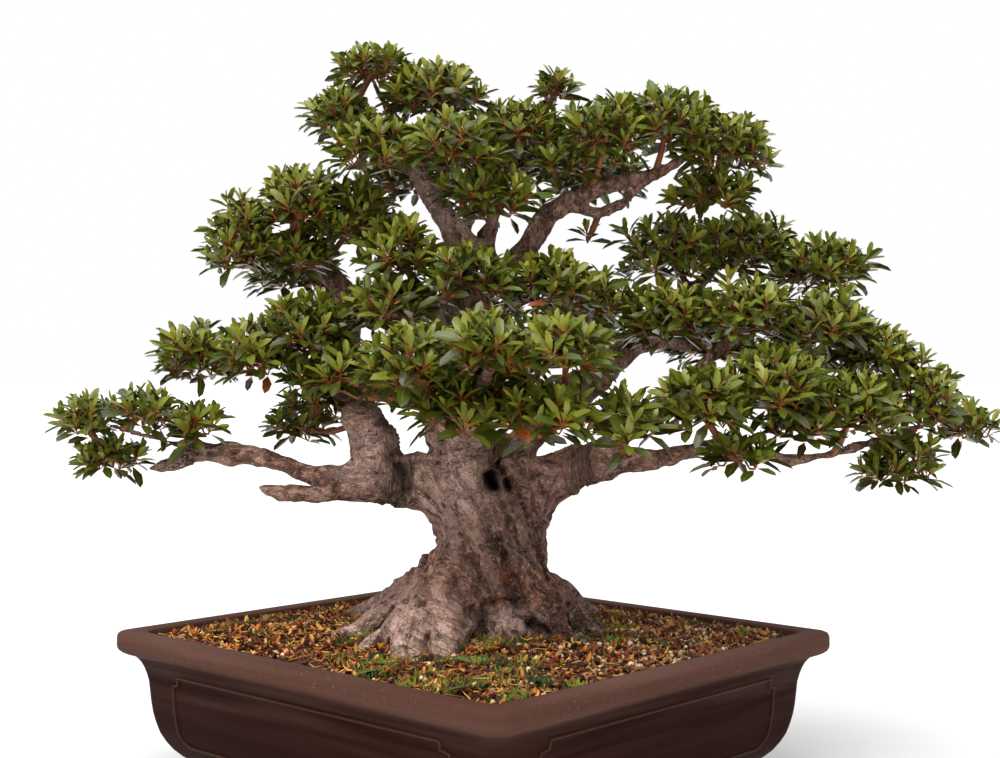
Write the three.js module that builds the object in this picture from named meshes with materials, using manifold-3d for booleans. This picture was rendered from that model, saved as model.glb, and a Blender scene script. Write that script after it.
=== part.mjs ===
// A satsuki azalea bonsai in its square stoneware pot, front towards -Y.
// Millimetres, +Z up. The tree is set out from the level of the pot's rim (z = 0 there);
// the exported group lifts it so that the pot's feet stand on z = 0.
import * as THREE from 'three';
import { mergeVertices } from 'three/addons/utils/BufferGeometryUtils.js';
import Module from 'manifold-3d';

const wasm = await Module();
wasm.setup();

// Pot: two pairs of sides, turned so that one corner comes forward.
const POT_LONG = 496;
const POT_SHORT = 460;
const POT_TURN = THREE.MathUtils.degToRad(47);
const POT_HEIGHT = 142;
const FOOT_HEIGHT = 12;
const FOOT_TOP = 63;
const FOOT_BASE = 52;
const FOOT_SUNK = 4;
const FOOT_INSET = 108;
const FLOOR_THICKNESS = 12;
const LIP_WIDTH = 22;
const CORNER_ARC = 0.055;
const DRAIN_RADIUS = 17;
const DRAIN_PLACES = [[-95, 0], [95, 0]];

// Fill: a coarse layer for drainage under the domed planting soil.
const DRAINAGE_DEPTH = 18;
const SOIL_EDGE = -8;
const SOIL_CROWN = 6;
const GAP = 0.4;
const SCREEN_SIZE = 56;
const SCREEN_THICKNESS = 1.6;
const SCREEN_HOLE = 20;
const SCREEN_PITCH = 12;

// Foliage: each lobe is a slim core with a raised whorl of blades and a lower, drooping one.
const FULL_LOBE = 45;
const FULL_BLADES = 6;
const SLIM_BLADES = 5;
const RAISED_TILT = 0.42;
const DROOPING_TILT = -0.2;
const TILT_SPREAD = 0.4;
const BLADE_WOBBLE = 0.7;
const BLADE_SHORTEST = 0.92;
const BLADE_SPREAD = 0.2;
const RAISED_LEVEL = 0.3;
const DROOPING_LEVEL = -0.28;
const BLADE_HALF_WIDTH = 6;
const BLADE_THICKNESS = 2.6;
const BLADE_SIDE = 0.68;
const CORE_RADIUS = 17;
const CORE_SHARE = 0.4;
const LOBE_LEAN = 0.4;
const LOBE_TRIES = 24;
const LOBE_SHRINK = 0.03;
const SHRINK_COST = 2;
const TRUNK_X = 18;
const SHOOT_RADIUS = 2.4;

// Wood: corners round each stretch, how knobbly it is, and the twigs that bear the sprays.
const TRUNK_SIDES = 14;
const TRUNK_FLUTE = 0.07;
const TRUNK_WAVE = 0.03;
const ROOT_SIDES = 6;
const ROOT_KNOBS = 0.16;
const STOUT_RADIUS = 14;
const STOUT_SIDES = 7;
const SLIM_SIDES = 5;
const LIMB_KNOBS = 0.18;
const TWIG_SIDES = 3;
const TWIG_RADII = [4.2, 2.8, 1.9];
const TWIG_SHARE = 0.8;
const TWIG_SAG = 0.08;
const STRAIGHT_TWIG = 110;

// Trunk: height over the rim, middle x and y, half width and half depth at that height.
const TRUNK = [
  [-44, 8, 0, 60, 46],
  [-6, 8, -2, 80, 58],
  [16, 8, -4, 78, 57],
  [38, 8, -8, 70, 55],
  [56, 11, -13, 60, 52],
  [76, 15, -17, 53, 49],
  [104, 18, -18, 52, 48],
  [124, 14, -17, 50, 44],
  [138, 8, -16, 42, 36],
  [150, 2, -14, 30, 26],
];

// Surface roots: points from the trunk's foot outwards and down into the soil, then radius.
const ROOTS = [
  [
    [-8, -24, 84, 24], [-22, -48, 54, 31], [-35, -80, 27, 27],
    [-42, -110, 8, 22], [-50, -140, -8, 12], [-54, -152, -18, 8],
  ],
  [[-10, -44, 44, 24], [-14, -86, 18, 20], [-20, -122, 2, 15], [-24, -146, -14, 9]],
  [[-42, -18, 46, 22], [-82, -34, 22, 12], [-112, -46, 6, 9], [-132, -54, -10, 6]],
  [[-58, -52, 20, 16], [-84, -82, 2, 10], [-98, -104, -14, 7]],
  [[-28, 16, 46, 24], [-66, 36, 22, 19], [-102, 54, 5, 13], [-128, 66, -12, 9]],
  [[20, -24, 42, 22], [28, -46, 18, 17], [30, -58, 2, 12], [30, -62, -14, 9]],
  [[48, -12, 50, 24], [82, -18, 22, 16], [112, -22, 4, 11], [134, -26, -12, 8]],
  [[56, -42, 18, 17], [86, -66, 1, 10], [106, -84, -13, 7]],
  [[42, -36, 40, 22], [56, -56, 16, 16], [68, -70, -1, 11], [72, -76, -14, 8]],
  [[44, 24, 50, 25], [86, 60, 20, 16], [124, 92, -10, 9]],
  [[2, 32, 56, 28], [6, 86, 22, 19], [10, 136, -10, 10]],
  [[-34, 28, 44, 23], [-66, 84, 16, 14], [-88, 124, -12, 8]],
];

// Limbs: points x, y, height over the rim, radius. Each starts inside the wood that bears it.
const LIMBS = {
  leader: [
    [4, -14, 104, 44], [-6, -14, 136, 32], [-13, -12, 164, 27], [-22, -8, 190, 22], [-24, 0, 232, 19],
    [-18, 8, 282, 16], [-14, 10, 330, 14], [-17, 10, 370, 12.5], [-38, 12, 406, 11],
    [-51, 13, 424, 9.5], [-56, 15, 446, 8], [-63, 20, 467, 6.5], [-82, 18, 490, 4.5], [-94, 12, 515, 3],
  ],
  crown_right: [
    [-18, 8, 292, 13], [14, 14, 322, 13], [52, 15, 360, 12], [70, 15, 389, 11], [91, 12, 402, 10],
    [109, 8, 408, 9], [139, 5, 417, 8], [169, 3, 425, 7], [196, 5, 440, 5], [232, 8, 455, 3],
  ],
  crown_strand: [[86, 14, 396, 6], [118, 13, 390, 6], [140, 11, 399, 5.5], [160, 5, 420, 5]],
  crown_stem: [[22, 14, 330, 9], [14, 8, 360, 8.5], [21, 0, 393, 7], [28, -2, 422, 5], [38, 6, 452, 4]],
  crown_cross: [[-32, 10, 400, 6], [-14, 2, 380, 6.5], [4, 2, 358, 7], [14, 12, 332, 7]],
  low_right: [
    [38, -18, 116, 34], [64, -26, 142, 25], [100, -30, 156, 21], [138, -25, 162, 14],
    [170, -20, 161, 10], [195, -14, 167, 8.5], [225, -10, 175, 7], [254, -6, 168, 6.5], [296, 0, 160, 5.5],
    [335, 5, 164, 4.5], [375, 8, 176, 3.5], [420, 10, 190, 3], [452, 14, 198, 2.5],
  ],
  upper_right: [
    [112, -30, 166, 12], [138, -38, 188, 10], [160, -38, 204, 9.5], [185, -34, 222, 9], [203, -30, 242, 7],
    [245, -26, 282, 4.5], [290, -22, 288, 3.4], [335, -8, 282, 2.8], [368, 10, 266, 2.2],
  ],
  mid_right: [
    [30, 0, 124, 24], [44, 8, 165, 15], [60, 18, 190, 15], [82, 26, 213, 16], [118, 36, 234, 16],
    [141, 42, 258, 15], [164, 48, 280, 13], [188, 52, 294, 10], [212, 62, 320, 7], [238, 72, 345, 4.5],
  ],
  low_left: [
    [-8, -18, 130, 36], [-46, -24, 141, 27], [-70, -28, 143, 25], [-95, -32, 143, 21],
    [-122, -34, 142, 15], [-150, -34, 149, 12.5], [-180, -32, 161, 14], [-200, -31, 165, 13.5],
    [-222, -30, 168, 11.5], [-248, -28, 168, 9], [-280, -26, 155, 6], [-296, -24, 153, 4],
  ],
  low_left_thin: [[-244, -28, 170, 5], [-282, -32, 180, 3.6], [-318, -34, 190, 3], [-345, -32, 198, 2.4]],
  low_left_stub: [[-112, -38, 134, 11], [-146, -50, 127, 9.5], [-172, -52, 127, 9], [-190, -50, 138, 7]],
  left_limb: [
    [-62, -18, 140, 24], [-84, -14, 152, 25], [-90, -10, 170, 23], [-99, -5, 196, 21], [-112, 4, 220, 17],
    [-120, 12, 256, 15], [-116, 20, 296, 13], [-122, 24, 318, 12], [-148, 28, 343, 10], [-178, 24, 360, 7],
    [-212, 18, 370, 4],
  ],
  mid_left: [
    [-108, 0, 212, 10], [-140, -14, 240, 9], [-172, -20, 252, 7], [-205, -20, 256, 5.5],
    [-250, -8, 258, 3.5],
  ],
  front: [
    [-20, -14, 186, 15], [-24, -60, 206, 11], [-6, -100, 222, 9], [10, -132, 232, 7], [18, -155, 246, 5],
  ],
  front_right: [[-8, -96, 220, 7], [36, -122, 216, 6], [80, -130, 208, 5], [120, -122, 202, 4]],
  centre_high: [[-22, 4, 262, 9], [-32, -18, 292, 7], [-52, -32, 325, 5]],
  centre_right: [[-18, 8, 274, 10], [20, -14, 296, 8], [52, -30, 310, 6], [66, -38, 318, 4]],
  back_low: [[0, 4, 146, 22], [4, 44, 190, 14], [0, 84, 230, 11], [-4, 124, 262, 9], [0, 164, 286, 6]],
  back_left: [[-2, 84, 230, 8], [-48, 112, 258, 7], [-90, 134, 288, 4.5]],
  back_right: [[-2, 98, 242, 8], [48, 124, 262, 7], [86, 146, 280, 4.5]],
  crown_back: [[-15, 10, 336, 9], [-8, 46, 378, 8], [4, 84, 414, 6], [26, 110, 440, 4]],
  right_back: [[146, 42, 262, 9], [190, 84, 270, 7], [236, 112, 262, 6], [290, 108, 252, 4]],
  left_back: [[-118, 20, 300, 8], [-146, 60, 322, 6], [-172, 92, 338, 4]],
};

// Sprays: the limb and the point of it that bears the spray, and its lobes of leaves.
// A lobe is x, y, height over the rim, then half its width, depth and height.
const SPRAYS = [
  ['apex', 'leader', 13, [[-94, 10, 527, 34, 35, 22], [-122, 15, 484, 33, 38, 30]]],
  ['apex_right', 'leader', 12, [[-38, 0, 502, 46, 45, 30]]],
  ['crown_left', 'leader', 11, [[-88, -22, 450, 46, 45, 29]]],
  ['crown_mid', 'leader', 10, [[-18, -32, 448, 46, 48, 33]]],
  ['crown_low', 'crown_stem', 2, [[16, -24, 404, 44, 42, 28]]],
  ['crown_centre', 'crown_stem', 4, [[44, 18, 470, 42, 46, 30], [76, 16, 506, 21, 22, 20]]],
  ['crown_right_in', 'crown_right', 5, [[124, -8, 470, 42, 48, 32], [84, 12, 438, 34, 40, 25]]],
  ['crown_right_mid', 'crown_right', 7, [[180, 5, 476, 46, 54, 34]]],
  ['crown_right_out', 'crown_right', 9, [[232, 10, 454, 47, 45, 34], [224, 15, 412, 38, 35, 24]]],
  ['crown_sprig', 'crown_strand', 1, [[108, 24, 370, 16, 16, 16]]],
  ['upper_left_tip', 'left_limb', 10, [[-216, 15, 367, 34, 45, 41]]],
  ['upper_left_mid', 'left_limb', 9, [[-161, 5, 401, 42, 48, 38]]],
  ['upper_left_in', 'left_limb', 8, [[-112, 22, 390, 40, 46, 40]]],
  ['centre_high', 'centre_high', 2, [[-64, -38, 350, 38, 42, 33]]],
  ['centre_left', 'centre_high', 1, [[-74, -48, 304, 42, 46, 28]]],
  ['centre_mid', 'centre_right', 1, [[2, -62, 328, 44, 46, 32]]],
  ['centre_right', 'centre_right', 3, [[68, -42, 322, 46, 46, 33]]],
  ['front_left', 'front', 2, [[-48, -148, 253, 43, 46, 35], [-10, -140, 212, 40, 44, 27]]],
  ['front_mid', 'front', 4, [[18, -166, 266, 42, 50, 36]]],
  ['front_right', 'front_right', 2, [[80, -150, 262, 43, 46, 33]]],
  ['front_low', 'front_right', 1, [[58, -148, 208, 44, 46, 28]]],
  ['front_side', 'front_right', 3, [[134, -120, 202, 32, 38, 28]]],
  ['mid_left_tip', 'mid_left', 4, [[-254, -5, 260, 36, 40, 32]]],
  ['mid_left_mid', 'mid_left', 3, [[-203, -26, 262, 40, 44, 34]]],
  ['mid_left_in', 'mid_left', 1, [[-149, -22, 282, 40, 46, 38], [-112, -50, 244, 35, 40, 29]]],
  ['mid_left_low', 'left_limb', 3, [[-166, 26, 192, 32, 32, 25]]],
  ['low_left_tip', 'low_left_thin', 3, [[-352, -30, 202, 27, 30, 24], [-334, -15, 166, 30, 30, 20]]],
  ['low_left_mid', 'low_left_thin', 2, [[-302, -36, 206, 36, 38, 22]]],
  ['low_left_in', 'low_left', 9, [[-256, -24, 196, 32, 34, 21]]],
  ['right_upper_in', 'mid_right', 8, [[192, 60, 360, 50, 48, 40]]],
  ['right_upper_mid', 'mid_right', 9, [[266, 80, 366, 46, 48, 34]]],
  ['right_upper_tip', 'mid_right', 9, [[334, 50, 344, 47, 44, 31]]],
  ['right_in', 'mid_right', 7, [[182, 0, 294, 46, 46, 35]]],
  ['right_mid', 'upper_right', 5, [[250, -28, 298, 45, 46, 36]]],
  ['right_out', 'upper_right', 7, [[322, -12, 288, 45, 46, 35]]],
  ['right_far', 'upper_right', 8, [[376, 20, 260, 40, 42, 36]]],
  ['right_front_in', 'upper_right', 3, [[200, -92, 218, 44, 46, 36], [236, -78, 170, 38, 36, 19]]],
  ['right_front_mid', 'upper_right', 4, [[269, -72, 234, 44, 46, 38]]],
  ['right_front_out', 'low_right', 9, [[341, -48, 210, 43, 42, 38]]],
  ['right_low', 'low_right', 11, [[412, 0, 218, 41, 42, 40]]],
  ['right_hanging', 'low_right', 10, [[400, 8, 160, 38, 38, 27]]],
  ['right_tip', 'low_right', 12, [[468, 20, 192, 28, 28, 25]]],
  ['crown_back_left', 'crown_back', 2, [[-62, 108, 440, 50, 46, 34]]],
  ['crown_back_right', 'crown_back', 3, [[40, 126, 458, 48, 46, 34], [122, 96, 436, 44, 42, 31]]],
  ['back_left', 'back_left', 2, [[-112, 150, 306, 48, 46, 32]]],
  ['back_mid', 'back_low', 4, [[0, 192, 300, 48, 46, 32]]],
  ['back_right', 'back_right', 2, [[102, 166, 290, 48, 46, 32]]],
  ['right_back', 'right_back', 2, [[240, 134, 276, 46, 44, 32]]],
  ['right_back_tip', 'right_back', 3, [[314, 106, 254, 44, 42, 31]]],
  ['left_back', 'left_back', 2, [[-182, 104, 346, 46, 44, 34]]],
];

// A repeatable number from 0 to 1 for each whole number and channel.
function hash(number, channel) {
  const wave = Math.sin(number * 12.9898 + channel * 78.233) * 43758.5453;
  return wave - Math.floor(wave);
}

// A closed geometry as a solid, its seams merged first.
function solidOf(geometry) {
  const bare = geometry.clone();
  bare.deleteAttribute('normal');
  bare.deleteAttribute('uv');
  const merged = mergeVertices(bare, 1e-3);
  const mesh = new wasm.Mesh({
    numProp: 3,
    vertProperties: new Float32Array(merged.attributes.position.array),
    triVerts: new Uint32Array(merged.index.array),
  });
  return new wasm.Manifold(mesh);
}

// The solid's biggest body as a geometry: a loose scrap left by a cut is dropped.
function geometryOf(solid) {
  const bodies = solid.decompose();
  bodies.sort((first, second) => second.volume() - first.volume());
  const mesh = bodies[0].getMesh();
  const positions = [];
  for (let i = 0; i < mesh.vertProperties.length; i += mesh.numProp) {
    positions.push(mesh.vertProperties[i], mesh.vertProperties[i + 1], mesh.vertProperties[i + 2]);
  }
  const geometry = new THREE.BufferGeometry();
  geometry.setAttribute('position', new THREE.Float32BufferAttribute(positions, 3));
  geometry.setIndex(Array.from(mesh.triVerts));
  geometry.computeVertexNormals();
  return geometry;
}

// Moves every vertex of a geometry to where the rule puts it.
function reshape(geometry, rule) {
  const places = geometry.attributes.position;
  const point = new THREE.Vector3();
  for (let i = 0; i < places.count; i += 1) {
    point.fromBufferAttribute(places, i);
    const moved = rule(point);
    places.setXYZ(i, moved.x, moved.y, moved.z);
  }
  return geometry;
}

// A tapered, slightly knobbly stretch of wood through points of x, y, z, radius.
function limbSolid(points, sides, spare, knobs) {
  const curve = new THREE.CatmullRomCurve3(points.map(([x, y, z]) => new THREE.Vector3(x, y, z)));
  const steps = points.length - 1;
  const frames = [];
  let side = new THREE.Vector3(0.3, 1, 0.2);
  for (let i = 0; i <= steps; i += 1) {
    const along = curve.getTangent(i / steps);
    side = side.clone().addScaledVector(along, -side.dot(along)).normalize();
    const across = new THREE.Vector3().crossVectors(side, along);
    const centre = curve.getPoint(i / steps);
    if (i === 0) centre.addScaledVector(along, -spare);
    if (i === steps) centre.addScaledVector(along, spare);
    frames.push({ centre, side, across, radius: points[i][3] });
  }
  const tube = new THREE.CylinderGeometry(1, 1, 1, sides, steps);
  return solidOf(reshape(tube, (point) => {
    const step = Math.round((point.y + 0.5) * steps);
    const frame = frames[step];
    const turn = Math.round((Math.atan2(point.z, point.x) / (2 * Math.PI)) * sides);
    const bump = 1 + knobs * (hash(step * 7 + ((turn % sides) + sides) % sides, points[0][0]) - 0.5);
    const reach = frame.radius * bump + spare;
    return frame.centre.clone()
      .addScaledVector(frame.side, point.x * reach)
      .addScaledVector(frame.across, point.z * reach);
  }));
}

// The trunk: stacked oval sections with shallow flutes that fade upwards.
function trunkSolid(spare) {
  const steps = TRUNK.length - 1;
  const column = new THREE.CylinderGeometry(1, 1, 1, TRUNK_SIDES, steps);
  return solidOf(reshape(column, (point) => {
    const step = Math.round((point.y + 0.5) * steps);
    const [height, x, y, halfWidth, halfDepth] = TRUNK[step];
    const angle = Math.atan2(point.z, point.x);
    const fade = 1 - step / steps;
    const flute = 1 + TRUNK_FLUTE * fade * Math.sin(angle * 5 + 0.8)
      + TRUNK_WAVE * Math.sin(angle * 3 + step * 0.6);
    let end = 0;
    if (step === 0) end = -spare;
    if (step === steps) end = spare;
    return new THREE.Vector3(
      x + point.x * (halfWidth * flute + spare),
      y - point.z * (halfDepth * flute + spare),
      height + end,
    );
  }));
}

// The twig that runs from a point of a limb into the first lobe of its spray.
function twigPoints([, limb, index, lobes]) {
  const start = new THREE.Vector3(...LIMBS[limb][index]);
  const end = new THREE.Vector3(...lobes[0]);
  const [thickest, halfway, thinnest] = TWIG_RADII;
  const thick = Math.min(LIMBS[limb][index][3] * TWIG_SHARE, thickest);
  const length = start.distanceTo(end);
  const middle = start.clone().lerp(end, 0.5);
  middle.z -= TWIG_SAG * length;
  const points = [[...start, thick], [...middle, halfway], [...end, thinnest]];
  if (length < STRAIGHT_TWIG) points.splice(1, 1);
  return points;
}

// All the wood, grown as one piece; spare is the clearance added all round it.
function woodSolid(spare) {
  let wood = trunkSolid(spare);
  for (const root of ROOTS) wood = wood.add(limbSolid(root, ROOT_SIDES, spare, ROOT_KNOBS));
  for (const points of Object.values(LIMBS)) {
    const sides = points[0][3] > STOUT_RADIUS ? STOUT_SIDES : SLIM_SIDES;
    wood = wood.add(limbSolid(points, sides, spare, LIMB_KNOBS));
  }
  for (const spray of SPRAYS) wood = wood.add(limbSolid(twigPoints(spray), TWIG_SIDES, spare, 0));
  return wood;
}

// The pot's rounded rectangle as multipliers of one radius, turned with the pot.
function planPoints() {
  const halfA = 1;
  const halfB = POT_SHORT / POT_LONG;
  const outline = new THREE.Shape();
  outline.moveTo(halfA, -halfB + CORNER_ARC);
  outline.lineTo(halfA, halfB - CORNER_ARC);
  outline.absarc(halfA - CORNER_ARC, halfB - CORNER_ARC, CORNER_ARC, 0, Math.PI / 2);
  outline.lineTo(-halfA + CORNER_ARC, halfB);
  outline.absarc(-halfA + CORNER_ARC, halfB - CORNER_ARC, CORNER_ARC, Math.PI / 2, Math.PI);
  outline.lineTo(-halfA, -halfB + CORNER_ARC);
  outline.absarc(-halfA + CORNER_ARC, -halfB + CORNER_ARC, CORNER_ARC, Math.PI, Math.PI * 1.5);
  outline.lineTo(halfA - CORNER_ARC, -halfB);
  outline.absarc(halfA - CORNER_ARC, -halfB + CORNER_ARC, CORNER_ARC, Math.PI * 1.5, Math.PI * 2);
  const points = [];
  const longSideOnY = POT_TURN + Math.PI / 2;
  for (const point of outline.getPoints(1)) {
    const last = points[points.length - 1];
    const turned = point.clone().rotateAround(new THREE.Vector2(), longSideOnY);
    if (last && last.distanceTo(turned) < 1e-4) continue;
    points.push(turned);
  }
  if (points[0].distanceTo(points[points.length - 1]) < 1e-4) points.pop();
  return points;
}

const PLAN = planPoints();

// A solid whose profile of inset from the rim's outside and height runs round the pot's plan.
function panSolid(profile) {
  const half = POT_LONG / 2;
  const section = profile.map(([inset, height]) => new THREE.Vector2(Math.max(half - inset, 0), height));
  const turned = new THREE.LatheGeometry(section, PLAN.length);
  return solidOf(reshape(turned, (point) => {
    const reach = Math.hypot(point.x, point.z);
    const part = Math.round((Math.atan2(point.x, point.z) / (2 * Math.PI)) * PLAN.length);
    const corner = PLAN[((part % PLAN.length) + PLAN.length) % PLAN.length];
    return new THREE.Vector3(corner.x * reach, corner.y * reach, point.y);
  }));
}

// A place in the pot's own two directions, turned with the pot.
function inPot(along, across, height) {
  const up = new THREE.Vector3(0, 0, 1);
  return new THREE.Vector3(along, across, height).applyAxisAngle(up, POT_TURN + Math.PI / 2);
}

const AXIS = POT_LONG / 2;
const UNDERSIDE = FOOT_HEIGHT - POT_HEIGHT;
const FLOOR_TOP = UNDERSIDE + FLOOR_THICKNESS;
const DRAINAGE_TOP = FLOOR_TOP + DRAINAGE_DEPTH;

// Inset of the inner wall, as inset and height pairs from the floor to the lip.
const INNER_WALL = [
  [86, FLOOR_TOP], [66, -112], [50, -98], [40, -78], [35, -46], [32, -22], [LIP_WIDTH, -14],
];

// The inner wall's inset at a height, between its listed points.
function innerInset(height) {
  for (let i = 1; i < INNER_WALL.length; i += 1) {
    const [lowInset, low] = INNER_WALL[i - 1];
    const [highInset, high] = INNER_WALL[i];
    if (height <= high) return lowInset + ((highInset - lowInset) * (height - low)) / (high - low);
  }
  return LIP_WIDTH;
}

// Pot: rounded lip, hollow moulding under it, bellied walls, four corner feet, two drain holes.
function potSolid() {
  let pot = panSolid([
    [AXIS, UNDERSIDE], [82, UNDERSIDE], [60, -126], [43, -116], [33, -101], [27.6, -87], [24, -69],
    [22.5, -48], [19, -33], [12, -23], [3, -18.5], [0, -14], [0, -4], [3, 0],
    [LIP_WIDTH, 0], ...INNER_WALL.slice().reverse(), [AXIS, FLOOR_TOP],
  ]);
  const reachA = POT_LONG / 2 - FOOT_INSET;
  const reachB = POT_SHORT / 2 - FOOT_INSET;
  for (const [signA, signB] of [[1, 1], [-1, 1], [-1, -1], [1, -1]]) {
    const foot = new THREE.CylinderGeometry(FOOT_TOP, FOOT_BASE, FOOT_HEIGHT + FOOT_SUNK, 4);
    foot.rotateY(Math.PI / 4);
    foot.rotateX(Math.PI / 2);
    foot.rotateZ(POT_TURN);
    const place = inPot(signA * reachA, signB * reachB, UNDERSIDE + (FOOT_SUNK - FOOT_HEIGHT) / 2);
    pot = pot.add(solidOf(foot.translate(place.x, place.y, place.z)));
  }
  for (const [along, across] of DRAIN_PLACES) {
    const drain = new THREE.CylinderGeometry(DRAIN_RADIUS, DRAIN_RADIUS, 3 * FLOOR_THICKNESS, 12);
    drain.rotateX(Math.PI / 2);
    const place = inPot(along, across, UNDERSIDE + FLOOR_THICKNESS / 2);
    pot = pot.subtract(solidOf(drain.translate(place.x, place.y, place.z)));
  }
  return pot;
}

// A square of coarse mesh that lies over a drain hole.
function screenSolid([along, across]) {
  const middle = FLOOR_TOP + GAP + SCREEN_THICKNESS / 2;
  const plate = new THREE.BoxGeometry(SCREEN_SIZE, SCREEN_SIZE, SCREEN_THICKNESS);
  plate.rotateZ(POT_TURN);
  const centre = inPot(along, across, middle);
  let screen = solidOf(plate.translate(centre.x, centre.y, centre.z));
  for (const column of [-1, 1]) {
    for (const row of [-1, 1]) {
      const opening = new THREE.BoxGeometry(SCREEN_HOLE, SCREEN_HOLE, 3 * SCREEN_THICKNESS);
      opening.rotateZ(POT_TURN);
      const place = inPot(along + column * SCREEN_PITCH, across + row * SCREEN_PITCH, middle);
      screen = screen.subtract(solidOf(opening.translate(place.x, place.y, place.z)));
    }
  }
  return screen;
}

// The coarse grit on the floor, with a shallow bed for each screen.
function drainageSolid() {
  const low = FLOOR_TOP + GAP;
  let grit = panSolid([
    [AXIS, low], [innerInset(low) + 1, low], [innerInset(-112) + GAP, -112],
    [innerInset(DRAINAGE_TOP) + 1, DRAINAGE_TOP], [AXIS, DRAINAGE_TOP],
  ]);
  for (const [along, across] of DRAIN_PLACES) {
    const side = SCREEN_SIZE + 2 * GAP;
    const depth = 2 * (SCREEN_THICKNESS + 2 * GAP);
    const bed = new THREE.BoxGeometry(side, side, depth);
    bed.rotateZ(POT_TURN);
    const place = inPot(along, across, low);
    grit = grit.subtract(solidOf(bed.translate(place.x, place.y, place.z)));
  }
  return grit;
}

// The planting soil: domed towards the trunk, with plain holes where wood and roots stand in it.
function soilSolid(clearWood) {
  const low = DRAINAGE_TOP + GAP;
  const rings = [[innerInset(SOIL_EDGE) + GAP, SOIL_EDGE]];
  for (const [share, rise] of [[0.78, 0.3], [0.58, 0.66], [0.36, 0.92]]) {
    rings.push([AXIS * (1 - share), SOIL_EDGE + (SOIL_CROWN - SOIL_EDGE) * rise]);
  }
  const bed = panSolid([
    [AXIS, low], [innerInset(low) + 1, low],
    [innerInset(-98) + GAP, -98], [innerInset(-78) + GAP, -78], [innerInset(-46) + GAP, -46],
    [innerInset(-22) + GAP, -22], [innerInset(-14) + GAP, -14], ...rings, [AXIS, SOIL_CROWN],
  ]);
  return bed.subtract(clearWood);
}

// A lobe of blades as one closed star: rows of corners run from its top down to its underside.
function lobeSolid([x, y, z, halfWidth, halfDepth, halfHeight], turn, size, seed) {
  const blades = halfWidth > FULL_LOBE ? FULL_BLADES : SLIM_BLADES;
  const columns = 4 * blades;
  const columnTurn = (2 * Math.PI) / columns;
  const core = Math.min(CORE_RADIUS, halfWidth * CORE_SHARE) * size;
  const raised = halfHeight * RAISED_LEVEL * size;
  const drooping = halfHeight * DROOPING_LEVEL * size;
  const rows = [
    () => [0, 0, raised + BLADE_THICKNESS],
    (column) => bladeCorner(column, 0, RAISED_TILT, raised),
    (column) => [core, column, 0],
    (column) => bladeCorner(column, 1, DROOPING_TILT, drooping),
    () => [0, 0, drooping - BLADE_THICKNESS],
  ];

  // Four corners make a blade: a hollow, one side, the tip and the other side.
  function bladeCorner(column, whorl, tilt, level) {
    const place = column + 2 * whorl;
    const corner = place % 4;
    if (corner === 0) return [core + 1, column, level];
    const middle = place - corner + 2 - 2 * whorl;
    const blade = (Math.floor(place / 4) % blades) + whorl * blades;
    const wobble = BLADE_WOBBLE * (hash(seed + blade, 3) - 0.5);
    const heading = (middle + wobble) * columnTurn + turn;
    const slope = tilt + TILT_SPREAD * (hash(seed + blade, 6) - 0.5);
    const reach = Math.hypot(Math.cos(heading) * halfWidth, Math.sin(heading) * halfDepth);
    const share = BLADE_SHORTEST + BLADE_SPREAD * hash(seed + blade, 5);
    const length = reach * size * share * Math.cos(slope);
    const radius = corner === 2 ? length : length * BLADE_SIDE;
    const swing = ((corner - 2) * Math.atan2(BLADE_HALF_WIDTH, radius)) / columnTurn;
    return [radius, middle + wobble + swing, level + radius * Math.tan(slope)];
  }

  const outward = new THREE.Vector3(x - TRUNK_X, y, 0).normalize().multiplyScalar(LOBE_LEAN);
  outward.z = 1;
  const lean = new THREE.Quaternion().setFromUnitVectors(new THREE.Vector3(0, 0, 1), outward.normalize());
  const ball = new THREE.SphereGeometry(1, columns, rows.length - 1);
  return solidOf(reshape(ball, (point) => {
    const row = Math.round((Math.acos(THREE.MathUtils.clamp(point.y, -1, 1)) / Math.PI) * (rows.length - 1));
    const part = Math.atan2(point.z, -point.x) / (2 * Math.PI) + 1;
    const [radius, column, height] = rows[row](Math.round(part * columns) % columns);
    const angle = column * columnTurn + turn;
    return new THREE.Vector3(Math.cos(angle) * radius, Math.sin(angle) * radius, height)
      .applyQuaternion(lean)
      .add(new THREE.Vector3(x, y, z));
  }));
}

// A short shoot from one point to another, three-sided.
function shootSolid(from, to, radius) {
  const length = from.distanceTo(to);
  const shoot = new THREE.CylinderGeometry(radius, radius * 1.5, length, 3);
  shoot.translate(0, length / 2, 0);
  const turn = new THREE.Quaternion().setFromUnitVectors(
    new THREE.Vector3(0, 1, 0),
    to.clone().sub(from).normalize(),
  );
  shoot.applyQuaternion(turn);
  return solidOf(shoot.translate(from.x, from.y, from.z));
}

// The lobe in the turn and size that keep it clear of the other sprays and least in the wood's way.
function clearLobe(lobe, seed, sprays, clearWood) {
  let best = null;
  for (let i = 0; i < LOBE_TRIES; i += 1) {
    const solid = lobeSolid(lobe, hash(seed + i, 4) * 2 * Math.PI, 1 - LOBE_SHRINK * i, seed);
    if (sprays.some(({ body }) => solid.intersect(body).volume() > 0)) continue;
    const inWood = solid.intersect(clearWood).volume() / solid.volume();
    const cost = inWood + SHRINK_COST * LOBE_SHRINK * i;
    if (!best || cost < best.cost) best = { solid, cost };
  }
  return best.solid;
}

// Each spray: its lobes, joined by shoots where it has two, less the wood that it grows round.
function spraySolids(clearWood) {
  const sprays = [];
  SPRAYS.forEach(([name, , , lobes], number) => {
    let body = clearLobe(lobes[0], number * 31, sprays, clearWood);
    for (let i = 1; i < lobes.length; i += 1) {
      const [from, to] = [lobes[0], lobes[i]].map((lobe) => new THREE.Vector3(...lobe));
      body = body.add(clearLobe(lobes[i], number * 31 + i, sprays, clearWood));
      body = body.add(shootSolid(from, to, SHOOT_RADIUS));
    }
    sprays.push({ name, body: body.subtract(clearWood) });
  });
  return sprays;
}

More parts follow.
